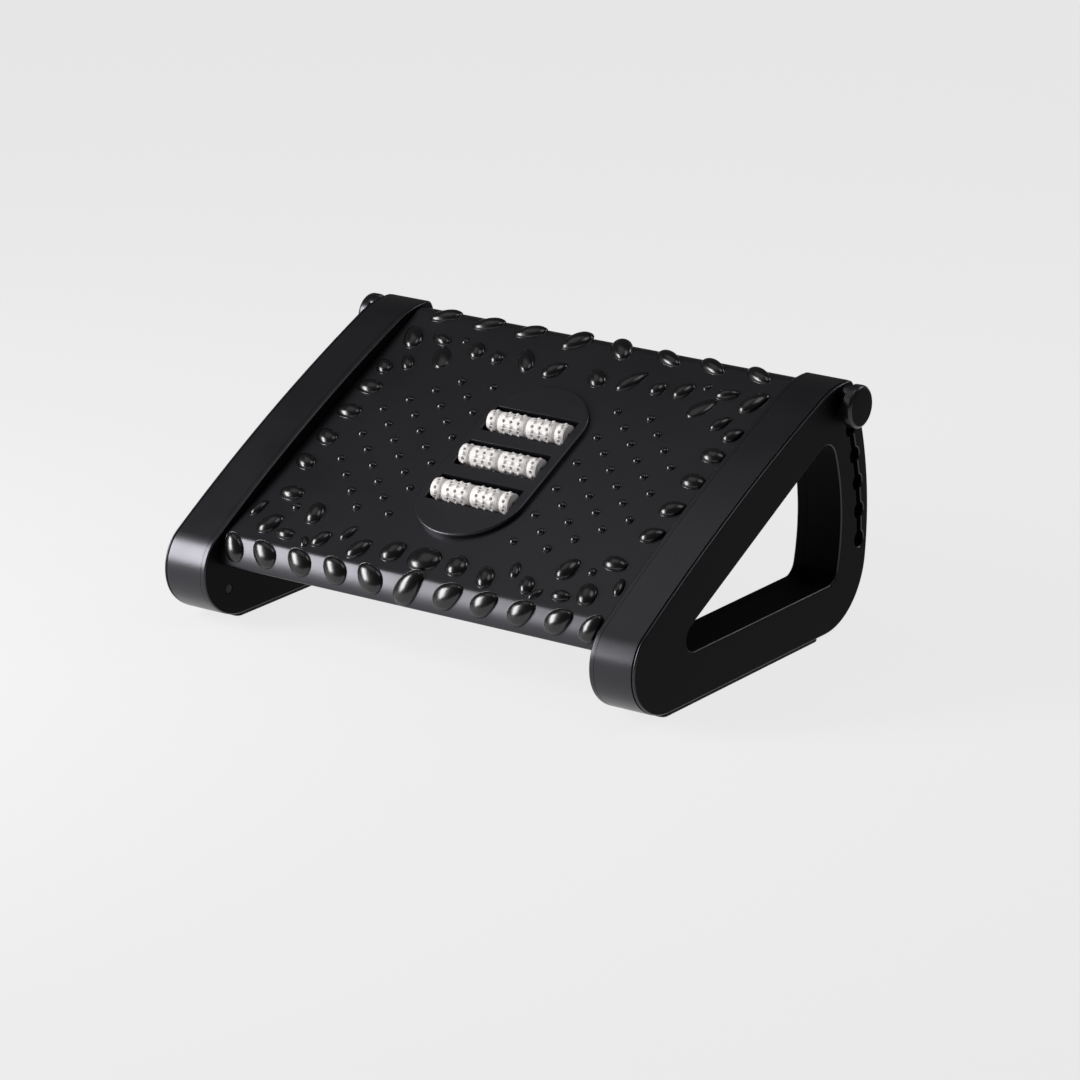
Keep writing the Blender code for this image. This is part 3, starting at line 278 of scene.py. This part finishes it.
pivot = Vector((0, -0.129, 0.067))
rod_reach, rod_low, rod_high = 0.276442, math.radians(0.2), math.radians(24.286)
seat_bearings = [rod_low + (rod_high - rod_low) * seat / 5 for seat in range(6)]
slope_middle = (bearing(frame_slope, frame_crown) + bearing(frame_slope, frame_front)) / 2
screw_spots = ((-0.1300, 0.0265), (-0.0117, 0.0220), (0.1213, 0.0265),
               (frame_slope[0] + 1.6335 * math.cos(slope_middle), frame_slope[1] + 1.6335 * math.sin(slope_middle)))


def rounding(start, radius, steps=5):
    """Stations (x, offset) of an edge that is rounded from a wall onto the face beyond it."""
    angles = [math.pi / 2 * step / steps for step in range(steps + 1)]
    return [(start + radius * math.sin(angle), radius * (math.cos(angle) - 1)) for angle in angles]


def arc_bar(bm, near, far, flare, half_width, past=0.0):
    """A bar that follows the rod's path, with its far edges flared outwards by a chamfer."""
    start = rod_low - past / rod_reach
    sweep = rod_high + past / rod_reach - start
    section = [(near, -half_width), (near, half_width), (far - flare, half_width), (far, half_width + flare),
               (far, -half_width - flare), (far - flare, -half_width)]
    if not flare:
        section = section[:2] + [(far, half_width), (far, -half_width)]
    verts = [bm.verts.new((x, pivot.y + rod_reach + out, pivot.z)) for x, out in section]
    face = bm.faces.new(verts)
    bmesh.ops.rotate(bm, verts=verts, cent=pivot, matrix=Matrix.Rotation(start, 3, "X"))
    bmesh.ops.spin(bm, geom=verts + list(face.edges) + [face], cent=pivot, axis=(1, 0, 0), angle=sweep, steps=28)
    open_edges = [edge for edge in bm.edges if edge.is_boundary]
    if open_edges:
        bmesh.ops.holes_fill(bm, edges=open_edges)
    return bm


def rod_spot(angle):
    return pivot.y + rod_reach * math.cos(angle), pivot.z + rod_reach * math.sin(angle)


def mirrored(bm, side):
    """A shape drawn for the right (1), or the same shape flipped over to the left (-1)."""
    if side < 0:
        bmesh.ops.scale(bm, vec=(-1, 1, 1), verts=bm.verts)
    return bm


def shape(bm, side, name):
    """A helper shape for a Boolean on either side's frame."""
    return finished(mirrored(bm, side), name, frame_abs, None)


def faces_window(face):
    """Whether a face is a wall that looks into the middle of a frame's window."""
    window_middle = Vector((face.center.x, 0.030, 0.080))
    return abs(face.normal.x) < 0.3 and face.normal.dot(window_middle - face.center) > 0


def coarsen_and_shade(piece, chosen):
    """Gives the faces that a test picks out the coarser finish, whose darker colour is painted shade."""
    piece.data.materials.append(side_abs)
    for face in piece.data.polygons:
        if chosen(face):
            face.material_index = 1


def vary_roughness(tree, shader, place, size, low, high, detail=2.0, spread=(0.0, 1.0)):
    """Lets a material's roughness drift between two values, in clouds of a size in metres."""
    cloud = add_node(tree, "ShaderNodeTexNoise", {"Vector": place, "Scale": 1 / size, "Detail": detail})
    rough = add_node(tree, "ShaderNodeMapRange", {
        "Value": cloud.outputs["Fac"], "From Min": spread[0], "From Max": spread[1], "To Min": low, "To Max": high})
    tree.links.new(rough.outputs["Result"], shader.inputs["Roughness"])


def add_grain(tree, shader, place, size, strength, detail=3.0, depth=0.0001):
    """Covers a material with fine bumps of a size and a depth in metres."""
    grain = add_node(tree, "ShaderNodeTexNoise", {"Vector": place, "Scale": 1 / size, "Detail": detail})
    bump = add_node(tree, "ShaderNodeBump", {
        "Height": grain.outputs["Fac"], "Strength": strength, "Distance": depth})
    tree.links.new(bump.outputs["Normal"], shader.inputs["Normal"])


def object_place(tree):
    return add_node(tree, "ShaderNodeTexCoord").outputs["Object"]


# Moulded ABS with a spark-eroded finish: near-black, satin, with a fine even grain that softens
# highlights. The real grain is about 0.1 mm, drawn here at 0.5 mm so that it shows.
abs_ior, abs_sheen, mid_cloud = 1.62, linear("#f1effa"), (0.3, 0.7)
frame_abs, abs_nodes, abs_shader = new_material(
    "moulded_abs_black", "#0d0d10", 0.32, IOR=abs_ior, Specular_Tint=abs_sheen)
abs_place = object_place(abs_nodes)
vary_roughness(abs_nodes, abs_shader, abs_place, 0.045, 0.28, 0.36, 4.0, mid_cloud)
add_grain(abs_nodes, abs_shader, abs_place, 0.0005, 0.05)

# The same ABS where the mould was left coarser, on the frames' flat sides, in their windows and on the
# knobs' caps. Its darker colour and weak reflection are painted shade, which keeps these shaded faces
# black. Its real grain is about 0.3 mm, drawn at 0.8 mm.
side_abs, side_nodes, side_shader = new_material("moulded_abs_coarse_painted_shade", "#060607", 0.62, Specular_IOR_Level=0.08)
add_grain(side_nodes, side_shader, object_place(side_nodes), 0.0008, 0.2)

tray_rim, tray_floor, side_face = 0.18165, 0.2137, 0.2170
plate_face, plate_back, plate_round = 0.1770, 0.18135, 0.0015
wall_thick = 0.003
squarely = 0.98
for side, hand in ((-1, "left"), (1, "right")):
    rim = [(tray_rim, 0), (0.2138, 0), (0.21395, -0.0001), (0.2140, -0.0004), (0.2140, -0.0012), (0.2151, -0.0012),
           (0.2151, -0.0004)]
    shell = bmesh.new()
    sweep(shell, rim + [(x, offset - 0.0002) for x, offset in rounding(0.2156, 0.0014)], frame_corners)
    sweep(shell, [(tray_rim, -wall_thick), (tray_floor, -wall_thick)], frame_corners)
    window_wall = [(tray_floor, wall_thick), (0.18615, wall_thick), (0.18615, 0)]
    sweep(shell, window_wall + [(x, -offset) for x, offset in rounding(0.2154, 0.0016, 4)], window_corners)
    for x in (tray_rim, tray_floor, side_face):
        fill(shell, x)
    shell = finished(mirrored(shell, side), f"outer_shell_{hand}", frame_abs, "stand", (f"frame_outer_{hand}",))
    track = shape(arc_bar(bmesh.new(), 0.205, 0.2150, 0, 0.0105, 0.0105), side, "track")
    posts = bmesh.new()
    for spot in screw_spots:
        turn(posts, [(tray_rim, 0), (tray_rim, 0.0045), (0.2148, 0.0045), (0.2148, 0)], spot, 20)
    posts = shape(posts, side, "posts")
    necks = shape(arc_bar(bmesh.new(), 0.1800, 0.2173, 0.0010, 0.0030), side, "necks")
    seats = bmesh.new()
    for angle in seat_bearings:
        turn(seats, [(0.1800, 0), (0.1800, 0.0065), (0.2163, 0.0065), (0.2173, 0.0075), (0.2173, 0)],
             rod_spot(angle), 32)
    seats = shape(seats, side, "seats")
    holes = bmesh.new()
    for spot in screw_spots:
        turn(holes, [(0.1800, 0), (0.1800, 0.0021), (0.1990, 0.0021), (0.1990, 0)], spot, 16)
    holes = shape(holes, side, "holes")
    cut_or_join(shell, [(track, "UNION"), (posts, "UNION"), (necks, "DIFFERENCE"), (seats, "DIFFERENCE"),
                        (holes, "DIFFERENCE")])
    # Painted shade: the outer flat side and the window walls take the darker coarse ABS.
    coarsen_and_shade(shell, lambda face: side * face.normal.x > squarely and abs(face.center.x) > 0.2165
            or faces_window(face))

    plate = bmesh.new()
    edge = [(plate_face + plate_round * (1 - math.cos(a)), plate_round * (math.sin(a) - 1))
            for a in (0, 0.4, 0.8, 1.2, 1.571)]
    sweep(plate, edge + [(plate_back, 0)], frame_corners)
    opening = [(plate_face, 0.0008), (0.1778, 0), (0.18585, 0), (0.18585, wall_thick), (plate_back, wall_thick)]
    sweep(plate, opening, window_corners)
    for x in (plate_face, plate_back):
        fill(plate, x)
    plate = finished(mirrored(plate, side), f"inner_shell_{hand}", frame_abs, "stand", (f"frame_inner_{hand}",))
    socket = turn(bmesh.new(), [(0.1806, 0), (0.1806, 0.0072), (0.2000, 0.0072), (0.2000, 0)], pivot.yz, 32)
    socket = shape(socket, side, "socket")
    bush_slot = shape(arc_bar(bmesh.new(), 0.1750, 0.1830, 0, 0.0063), side, "bush_slot")
    slot_ends = bmesh.new()
    for angle in (seat_bearings[0], seat_bearings[-1]):
        turn(slot_ends, [(0.1750, 0), (0.1750, 0.0063), (0.1830, 0.0063), (0.1830, 0)], rod_spot(angle), 32)
    slot_ends = shape(slot_ends, side, "slot_ends")
    bores = turn(bmesh.new(), [(0.1750, 0), (0.1750, 0.0033), (0.1970, 0.0033), (0.1970, 0)], pivot.yz, 24)
    for spot in screw_spots:
        turn(bores, [(0.1750, 0), (0.1750, 0.0039), (0.1795, 0.0039), (0.1795, 0.0021), (0.1830, 0.0021),
                     (0.1830, 0)], spot, 24)
    bores = shape(bores, side, "bores")
    cut_or_join(plate, [(socket, "UNION"), (bush_slot, "DIFFERENCE"), (slot_ends, "DIFFERENCE"),
                        (bores, "DIFFERENCE")])
    # Painted shade: the inner flat side and the window walls take the darker coarse ABS.
    coarsen_and_shade(plate, lambda face: side * face.normal.x < -squarely and abs(face.center.x) < 0.1775
            or faces_window(face))

# The footboard is one moulding in glossier ABS, hung on a steel rod at its front edge. Its rear end rolls
# over and its front end turns down in a slightly bowed apron. A long raised panel in its middle holds
# the rollers, and ribs stiffen its underside.
tilt = math.radians(26.297)
board_place = Matrix.Translation(pivot) @ Matrix.Rotation(tilt, 4, "X")
board_half, board_top, rib_thick = 0.176, 0.007, 0.0024
rod_y, rod_height = 0.276272, -0.0097
panel_centre, row_pitch, axle_height = 0.128767, 0.0405, 0.0082
row_places = [panel_centre - row_pitch, panel_centre, panel_centre + row_pitch]
front_roll, rear_roll = (-0.0009, -0.0075), (0.272272, -0.0066)
front_bend, apron, front_lip = (-0.0005, -0.0010), (0.020190, -0.031675), (-0.016783, -0.009721)

board_abs, board_nodes, board_shader = new_material(
    "moulded_abs_glossier", "#0e0d11", 0.33, IOR=abs_ior, Specular_Tint=abs_sheen)
board_spot = object_place(board_nodes)
vary_roughness(board_nodes, board_shader, board_spot, 0.06, 0.29, 0.38, 4.0, mid_cloud)
add_grain(board_nodes, board_shader, board_spot, 0.0007, 0.05, 2.0)


def roll_spot(roll, radius, angle):
    """A point on a rolled end, its angle counted from the top towards the rear."""
    return Vector((0, roll[0] + radius * math.sin(angle), roll[1] + radius * math.cos(angle)))


def side_corner(bm, roll, radius, degrees):
    """A new corner of the board's outline, on its left side and on a rolled end."""
    return bm.verts.new(Vector((-board_half, 0, 0)) + roll_spot(roll, radius, math.radians(degrees)))


def added_since(bm, known):
    """The vertices that a shape has gained since a set of its vertices was taken."""
    return [vert for vert in bm.verts if vert not in known]


def rounded_bar(bm, half_width, low, high, z_low, z_high, corner, steps=8, top_round=0.0):
    """An upright block with rounded corners, and a rounded upper edge if asked."""
    known = set(bm.verts)
    plate = bmesh.ops.create_grid(bm, x_segments=1, y_segments=1, size=1)["verts"]
    bmesh.ops.scale(bm, vec=(half_width, (high - low) / 2, 1), verts=plate)
    bmesh.ops.translate(bm, vec=(0, (high + low) / 2, z_low), verts=plate)
    if corner:
        bmesh.ops.bevel(bm, geom=plate, offset=corner, segments=steps, profile=0.5, affect="VERTICES",
                        material=-1)
    faces = [f for f in bm.faces if all(v not in known for v in f.verts)]
    raised = bmesh.ops.extrude_face_region(bm, geom=faces, use_keep_orig=True)["geom"]
    upper = verts_of(raised)
    bmesh.ops.translate(bm, vec=(0, 0, z_high - z_low), verts=upper)
    if top_round:
        inside = set(upper)
        rim = [e for e in bm.edges if e.verts[0] in inside and e.verts[1] in inside]
        bmesh.ops.bevel(bm, geom=rim, offset=top_round, segments=4, profile=0.5, affect="EDGES", material=-1)
    return bm


board = bmesh.new()
outer_start = side_corner(board, front_roll, 0.0145, -150)
last = bend(board, outer_start, front_roll, -math.radians(35), 6)
corner = side_corner(board, front_lip, 0.0020, -155)
board.edges.new((last, corner))
last = bend(board, corner, front_lip, -math.radians(95.7), 8)
last = bend(board, last, apron, -math.radians(25.3), 14)
last = bend(board, last, front_bend, -math.radians(34), 10)
corner = side_corner(board, rear_roll, 0.0136, 0)
board.edges.new((last, corner))
outer_end = bend(board, corner, rear_roll, -math.radians(160), 24)
inner_start = side_corner(board, front_roll, 0.0115, -150)
last = bend(board, inner_start, front_roll, -math.radians(150), 16)
corner = side_corner(board, rear_roll, 0.0106, 0)
board.edges.new((last, corner))
inner_end = bend(board, corner, rear_roll, -math.radians(160), 16)
board.edges.new((outer_start, inner_start))
board.edges.new((outer_end, inner_end))
bmesh.ops.contextual_create(board, geom=list(board.edges))
drawn = bmesh.ops.extrude_face_region(board, geom=list(board.faces), use_keep_orig=True)["geom"]
bmesh.ops.translate(board, vec=(2 * board_half, 0, 0), verts=verts_of(drawn))
board = finished(board, "board", board_abs, "board", ("footboard",))

ribs = bmesh.new()
for place in (board_half - rib_thick / 2, 0.067, 0.119):
    for x in (place - rib_thick / 2, -place - rib_thick / 2):
        rib = [ribs.verts.new(Vector((x, 0, 0)) + roll_spot(front_roll, 0.0122, -math.pi * (1 - step / 10)))
               for step in range(11)]
        rib += [ribs.verts.new(Vector((x, 0, 0)) + roll_spot(rear_roll, 0.0121, math.pi * step / 10))
                for step in range(11)]
        rib += [ribs.verts.new((x, y, -0.008)) for y in (0.2587, 0.0136)]
        rib_face = ribs.faces.new(rib)
        drawn = bmesh.ops.extrude_face_region(ribs, geom=[rib_face], use_keep_orig=True)["geom"]
        bmesh.ops.translate(ribs, vec=(rib_thick, 0, 0), verts=verts_of(drawn))
ribs = finished(ribs, "ribs", board_abs, None)
cross_ribs = bmesh.new()
for y in (0.0356, 0.2384):
    rounded_bar(cross_ribs, board_half - rib_thick / 2, y, y + rib_thick, -0.003, 0.0055, 0)
cross_ribs = finished(cross_ribs, "cross_ribs", board_abs, None)
swell = bmesh.new()
bmesh.ops.create_cone(swell, cap_ends=True, segments=96, radius1=0.1490, radius2=0.1460, depth=0.0009)
bmesh.ops.scale(swell, vec=(1, 0.6, 1), verts=swell.verts)
bmesh.ops.translate(swell, vec=(0, panel_centre, 0.00695), verts=swell.verts)
swell = finished(swell, "swell", board_abs, None)
panel = rounded_bar(bmesh.new(), 0.0465, panel_centre - 0.087, panel_centre + 0.087, 0.0055, 0.0113, 0.0464, 24,
                    0.0016)
panel = finished(panel, "panel", board_abs, None)
hollow = rounded_bar(bmesh.new(), 0.0435, panel_centre - 0.084, panel_centre + 0.084, 0.0020, 0.0083, 0.0434, 24)
hollow = finished(hollow, "hollow", board_abs, None)
windows = bmesh.new()
for y in row_places:
    rounded_bar(windows, 0.0377, y - 0.0141, y + 0.0137, 0.0020, 0.0135, 0.0012, 3)
windows = finished(windows, "windows", board_abs, None)
window_edges = bmesh.new()
for y in row_places:
    edge = bmesh.ops.create_cube(window_edges, size=1)["verts"]
    bmesh.ops.scale(window_edges, vec=(0.0754, 0.0278, 0.0012), verts=edge)
    for vert in edge:
        if vert.co.z > 0:
            vert.co.x += math.copysign(0.0007, vert.co.x)
            vert.co.y += math.copysign(0.0007, vert.co.y)
    bmesh.ops.translate(window_edges, vec=(0, y - 0.0002, 0.0113), verts=edge)
window_edges = finished(window_edges, "window_edges", board_abs, None)
grooves = bmesh.new()
for y in row_places:
    turn(grooves, [(-0.0453, 0), (-0.0453, 0.0019), (0.0453, 0.0019), (0.0453, 0)], (y, axle_height), 20)
grooves = finished(grooves, "grooves", board_abs, None)
bores = turn(bmesh.new(), [(-0.178, 0), (-0.178, 0.0033), (0.178, 0.0033), (0.178, 0)], (0, 0), 24)
turn(bores, [(-0.178, 0), (-0.178, 0.0043), (0.178, 0.0043), (0.178, 0)], (rod_y, rod_height), 24)
bores = finished(bores, "bores", board_abs, None)
bosses = bmesh.new()
for x in (-0.0535, 0.0535):
    for y in (panel_centre - 0.0525, panel_centre + 0.0525):
        known = set(bosses.verts)
        bmesh.ops.create_cone(bosses, cap_ends=True, segments=20, radius1=0.0036, radius2=0.0036, depth=0.0055)
        bmesh.ops.translate(bosses, vec=(x, y, 0.00275), verts=added_since(bosses, known))
bosses = finished(bosses, "bosses", board_abs, None)
cut_or_join(board, [(ribs, "UNION"), (cross_ribs, "UNION"), (swell, "UNION"), (panel, "UNION"),
                    (bosses, "UNION"), (hollow, "DIFFERENCE"), (grooves, "DIFFERENCE"), (windows, "DIFFERENCE"),
                    (window_edges, "DIFFERENCE"), (bores, "DIFFERENCE")])
board.data.transform(board_place)

# Massage pebbles and dots, moulded in one with the footboard and glossier than it: egg-shaped
# stones round the edge and along both rolled ends, and low round dots on either side of the panel.
pebble_abs, pebble_nodes, pebble_shader = new_material("polished_abs_pebbles", "#0a0a0b", 0.2, IOR=abs_ior)
vary_roughness(pebble_nodes, pebble_shader, object_place(pebble_nodes), 0.004, 0.21, 0.25, 3.0, mid_cloud)


def pebble(bm, place, length, width, height, egg=0.0, steps=24):
    """A domed stone with a soft foot, narrower at its +X end by a share given as egg."""
    angles = [math.radians(degrees) for degrees in range(0, 85, 12)]
    profile = [(math.sin(angle), math.cos(angle)) for angle in angles]
    profile += [(0.999, 0.055), (1.012, 0.010), (1.045, 0.0), (1.06, -0.12)]
    stone = bmesh.new()
    verts = [stone.verts.new((radius, 0, level)) for radius, level in profile]
    edges = [stone.edges.new(pair) for pair in zip(verts, verts[1:])]
    bmesh.ops.spin(stone, geom=verts + edges, cent=(0, 0, 0), axis=(0, 0, 1), angle=math.tau, steps=steps,
                   use_merge=True)
    bmesh.ops.remove_doubles(stone, verts=stone.verts, dist=1e-6)
    bmesh.ops.holes_fill(stone, edges=[edge for edge in stone.edges if edge.is_boundary])
    for vert in stone.verts:
        vert.co.y *= 1 - egg * vert.co.x
    bmesh.ops.scale(stone, vec=(length / 2, width / 2, height), verts=stone.verts)
    bmesh.ops.transform(stone, matrix=place, verts=stone.verts)
    added = bpy.data.meshes.new("stone")
    stone.to_mesh(added)
    stone.free()
    bm.from_mesh(added)
    bpy.data.meshes.remove(added)


def on_board(x, y, turned=0.0):
    return Matrix.Translation((x, y, board_top)) @ Matrix.Rotation(math.radians(turned), 4, "Z")


def on_roll(x, roll, radius, angle, turned):
    """A place on a rolled end, turned about the line square to the surface there."""
    spot = Vector((x, 0, 0)) + roll_spot(roll, radius, angle)
    return Matrix.Translation(spot) @ Matrix.Rotation(-angle, 4, "X") @ Matrix.Rotation(math.radians(turned), 4, "Z")


stones = bmesh.new()
for x, y, length, width, turned, height in (
        (0.1595, 0.2420, 0.027, 0.0155, 60, 0.0050), (0.1340, 0.2455, 0.020, 0.0102, 20, 0.0045),
        (0.1135, 0.2495, 0.008, 0.0062, 60, 0.0020), (0.0970, 0.2410, 0.020, 0.0132, 60, 0.0045),
        (0.0755, 0.2375, 0.015, 0.0120, 60, 0.0045), (0.0495, 0.2405, 0.028, 0.0132, 58, 0.0040),
        (0.0200, 0.2360, 0.022, 0.0143, 130, 0.0050), (0.1215, 0.2265, 0.026, 0.0150, 60, 0.0025),
        (0.1465, 0.2140, 0.019, 0.0101, 55, 0.0040), (0.1630, 0.2045, 0.018, 0.0128, 45, 0.0045),
        (0.1605, 0.1795, 0.0216, 0.0150, -5, 0.0050), (0.1605, 0.1495, 0.0216, 0.0150, -5, 0.0050),
        (0.1610, 0.1180, 0.0216, 0.0150, 25, 0.0050), (0.1610, 0.0880, 0.0207, 0.0141, 30, 0.0050),
        (0.1500, 0.0525, 0.021, 0.0141, -5, 0.0050), (0.1370, 0.0400, 0.008, 0.0070, 100, 0.0025),
        (0.1170, 0.0375, 0.023, 0.0150, 75, 0.0055), (0.1665, 0.0310, 0.018, 0.0084, 105, 0.0035),
        (0.1465, 0.0175, 0.023, 0.0158, 115, 0.0050), (0.1275, 0.0105, 0.016, 0.0110, 0, 0.0040),
        (0.1070, 0.0070, 0.013, 0.0070, 60, 0.0025), (0.0950, 0.0135, 0.0185, 0.0121, 115, 0.0045),
        (0.0770, 0.0255, 0.0176, 0.0084, 110, 0.0030), (0.0585, 0.0120, 0.023, 0.0141, 115, 0.0050),
        (0.0295, 0.0170, 0.022, 0.0176, 115, 0.0055)):
    for side in (-1, 1):
        spot = on_board(side * x, y, turned if side > 0 else 180 - turned)
        pebble(stones, spot, length, width, height, 0.12)
pebble(stones, on_board(0, 0.0160), 0.028, 0.024, 0.0055)
for x, length, width, turned, height in (
        (0.1470, 0.0265, 0.0132, 155, 0.0042), (0.1052, 0.0265, 0.0132, 155, 0.0042),
        (0.0651, 0.0265, 0.0132, 155, 0.0042), (0.0210, 0.0265, 0.0167, 130, 0.0048)):
    for side in (-1, 1):
        spot = on_board(side * x, rear_roll[0] - 0.0003, turned if side > 0 else 180 - turned)
        pebble(stones, spot, length, width, height, -0.12)
apron_radius, front_row = 0.0450, -0.7156
for x, length, width, turned, height in (
        (0.1651, 0.0235, 0.0158, 60, 0.0050), (0.1360, 0.0245, 0.0176, 35, 0.0050),
        (0.1026, 0.0245, 0.0176, 35, 0.0050), (0.0690, 0.0245, 0.0176, 35, 0.0050),
        (0.0361, 0.0265, 0.0185, 35, 0.0050)):
    for side in (-1, 1):
        spot = on_roll(side * x, apron, apron_radius, front_row, turned if side > 0 else 180 - turned)
        pebble(stones, spot, length, width, height, 0.2)
pebble(stones, on_roll(0, apron, apron_radius, front_row, 60), 0.030, 0.019, 0.0055, 0.2)
dot_pitch = 0.0152
for row in range(11):
    for column in range(6):
        x, y = 0.058 + column * dot_pitch, (row - 5) * dot_pitch
        if (row + column) % 2 == 0 and math.hypot(x, y) < 0.141:
            for side in (-1, 1):
                pebble(stones, on_board(side * x, panel_centre + y), 0.0072, 0.0072, 0.0030, 0, 16)
stones = finished(stones, "pebbles_and_dots", pebble_abs, "board", (), 60, board_place)

# Rollers, moulded in white nylon and free to spin on steel axles: four on each of three axles. Each is
# a plain barrel with rows of small round nubs, and rows of small pits between them.
nylon, nylon_nodes, nylon_shader = new_material("moulded_nylon_white", "#e9e5e3", 0.45)
nylon_shader.inputs["Subsurface Weight"].default_value = 0.05
nylon_shader.inputs["Subsurface Radius"].default_value = (0.0012, 0.0010, 0.0009)
nylon_cloud = add_node(nylon_nodes, "ShaderNodeTexNoise", {
    "Vector": object_place(nylon_nodes), "Scale": 1 / 0.006, "Detail": 3.0})
nylon_tint = add_node(nylon_nodes, "ShaderNodeMix", {
    "Factor": nylon_cloud.outputs["Fac"], 6: linear("#e2dedc"), 7: linear("#efecea")}, data_type="RGBA")
nylon_nodes.links.new(nylon_tint.outputs[2], nylon_shader.inputs["Base Color"])


roller_rows, bore_radius, barrel_radius, barrel_bevel = 7, 0.0023, 0.0084, 0.0003


def nubbed_roller(half, places):
    """A barrel round the X axis with rows of nubs, and rows of small pits between them."""
    barrel = turn(bmesh.new(), [(-half, bore_radius), (-half, 0.0081), (-half + barrel_bevel, barrel_radius),
                                (half - barrel_bevel, barrel_radius), (half, 0.0081), (half, bore_radius),
                                (-half, bore_radius)], (0, 0), 42)
    barrel = finished(barrel, "nubbed_roller", nylon, None, sharp=60)
    nubs, pits = bmesh.new(), bmesh.new()
    for row in range(roller_rows):
        known_nubs, known_pits = set(nubs.verts), set(pits.verts)
        for x in places:
            nub = bmesh.ops.create_uvsphere(nubs, u_segments=12, v_segments=8, radius=0.0018)["verts"]
            bmesh.ops.translate(nubs, vec=(x, 0, 0.0076), verts=nub)
            pit = bmesh.ops.create_cone(pits, cap_ends=True, segments=12, radius1=0.0012, radius2=0.0015,
                                        depth=0.0060)["verts"]
            bmesh.ops.translate(pits, vec=(x, 0, 0.0070), verts=pit)
        for bm, known, turns in ((nubs, known_nubs, row + 0.5), (pits, known_pits, row)):
            bmesh.ops.rotate(bm, cent=(0, 0, 0), matrix=Matrix.Rotation(math.tau * turns / roller_rows, 3, "X"),
                             verts=added_since(bm, known))
    cut_or_join(barrel, [(finished(nubs, "nubs", nylon, None), "UNION"),
                         (finished(pits, "holes", nylon, None), "DIFFERENCE")], 60)
    return barrel


main_roller = nubbed_roller(0.0124, (-0.0068, 0, 0.0068))
end_roller = nubbed_roller(0.0042, (-0.0001,))
main_middle, end_middle = 0.0133, 0.03165
for row, y, turned in zip(("front", "middle", "rear"), row_places, (37.5, 14.4, 33.0)):
    for name, middle, pattern in (("left_end", -end_middle, end_roller), ("left", -main_middle, main_roller),
                                  ("right", main_middle, main_roller), ("right_end", end_middle, end_roller)):
        roller = bmesh.new()
        roller.from_mesh(pattern.data)
        bmesh.ops.rotate(roller, cent=(0, 0, 0), matrix=Matrix.Rotation(math.radians(turned), 3, "X"),
                         verts=roller.verts)
        bmesh.ops.translate(roller, vec=(middle, y, axle_height), verts=roller.verts)
        finished(roller, f"roller_{row}_{name}_nubbed", nylon, f"roller_{row}_{name}", (f"roller_{row}_{name}",),
                 60, board_place)
for pattern in (main_roller, end_roller):
    bpy.data.objects.remove(pattern, do_unlink=True)

# Clamping knobs, moulded in the frames' ABS round a brass insert: a bevelled cap over a grip with
# four lobes, whose nose bears on the frame when the knob is tightened.
rod_spot_y, rod_spot_z = 0.122977, 0.1807
lobe_reach, first_lobe = 0.0113, 24
for side, hand in ((-1, "left"), (1, "right")):
    cap = turn(bmesh.new(), [(0.2234, 0), (0.2234, 0.0162), (0.2239, 0.0167), (0.2246, 0.0168), (0.2290, 0.0168),
                             (0.2300, 0.0165), (0.2308, 0.0158), (0.2316, 0.0146), (0.2318, 0.0140), (0.2318, 0)],
               (0, 0), 64)
    cap = finished(mirrored(cap, side), f"knob_cap_{hand}", frame_abs, f"knob_{hand}", (f"knob_{hand}",),
                   25)
    grip = bmesh.new()
    for step in range(4):
        angle = math.radians(first_lobe + 90 * step)
        turn(grip, [(0.2190, 0), (0.2190, 0.0048), (0.2197, 0.0055), (0.2240, 0.0055), (0.2240, 0)],
             (lobe_reach * math.cos(angle), lobe_reach * math.sin(angle)), 24)
    grip = shape(grip, side, "grip")
    hub = shape(turn(bmesh.new(), [(0.2176, 0), (0.2176, 0.0094), (0.2182, 0.0100), (0.2240, 0.0100), (0.2240, 0)],
                     (0, 0), 48), side, "hub")
    bore = shape(turn(bmesh.new(), [(0.2160, 0), (0.2160, 0.0048), (0.2269, 0.0048), (0.2269, 0.0029),
                                    (0.2296, 0.0029), (0.2296, 0)], (0, 0), 32), side, "bore")
    cut_or_join(cap, [(hub, "UNION"), (grip, "UNION"), (bore, "DIFFERENCE")], 25)
    cap.data.transform(Matrix.Translation((0, rod_spot_y, rod_spot_z)))
    # Painted shade: the cap's outer face takes the darker coarse ABS.
    coarsen_and_shade(cap, lambda face: abs(face.center.x) > 0.2317)

# Turned parts that show only from the side or from below: drawn steel rods and axles, screws, brass
# inserts, and the rubber strips that the footrest stands on.
steel, steel_nodes, steel_shader = new_material("drawn_steel", "#b9bbbe", 0.3, Metallic=1.0)
steel_lines = add_node(steel_nodes, "ShaderNodeMapping", {
    "Vector": object_place(steel_nodes), "Scale": (1 / 0.03, 1 / 0.0004, 1 / 0.0004)})
vary_roughness(steel_nodes, steel_shader, steel_lines.outputs["Vector"], 1.0, 0.22, 0.4)

brass, brass_nodes, brass_shader = new_material("turned_brass", "#d8b26a", 0.3, Metallic=1.0)
vary_roughness(brass_nodes, brass_shader, object_place(brass_nodes), 0.0006, 0.24, 0.38)

foot_rubber, rubber_nodes, rubber_shader = new_material("ground_rubber", "#141414", 0.85)
add_grain(rubber_nodes, rubber_shader, object_place(rubber_nodes), 0.0006, 0.3, 2.0, 0.0002)

# Blackened steel on the screws, which the photo doesn't pick out from the frames.
black_steel, oxide_nodes, oxide_shader = new_material("blackened_steel", "#1a1a1c", 0.5, Metallic=0.6)
vary_roughness(oxide_nodes, oxide_shader, object_place(oxide_nodes), 0.002, 0.45, 0.6)

finishes = {"bright_steel": steel, "insert_brass": brass, "foot_rubber": foot_rubber, "white_nylon": nylon,
            "board_black": board_abs, "black_shell": frame_abs}
for subpart in frame["record"]["subparts"]:
    node = frame["nodes"].get(subpart["node"])
    if node is not None and node.data.materials:
        finish = black_steel if "_screw_" in subpart["node"] else finishes[subpart["material_slot"]]
        for material_slot in node.material_slots:
            material_slot.material = finish
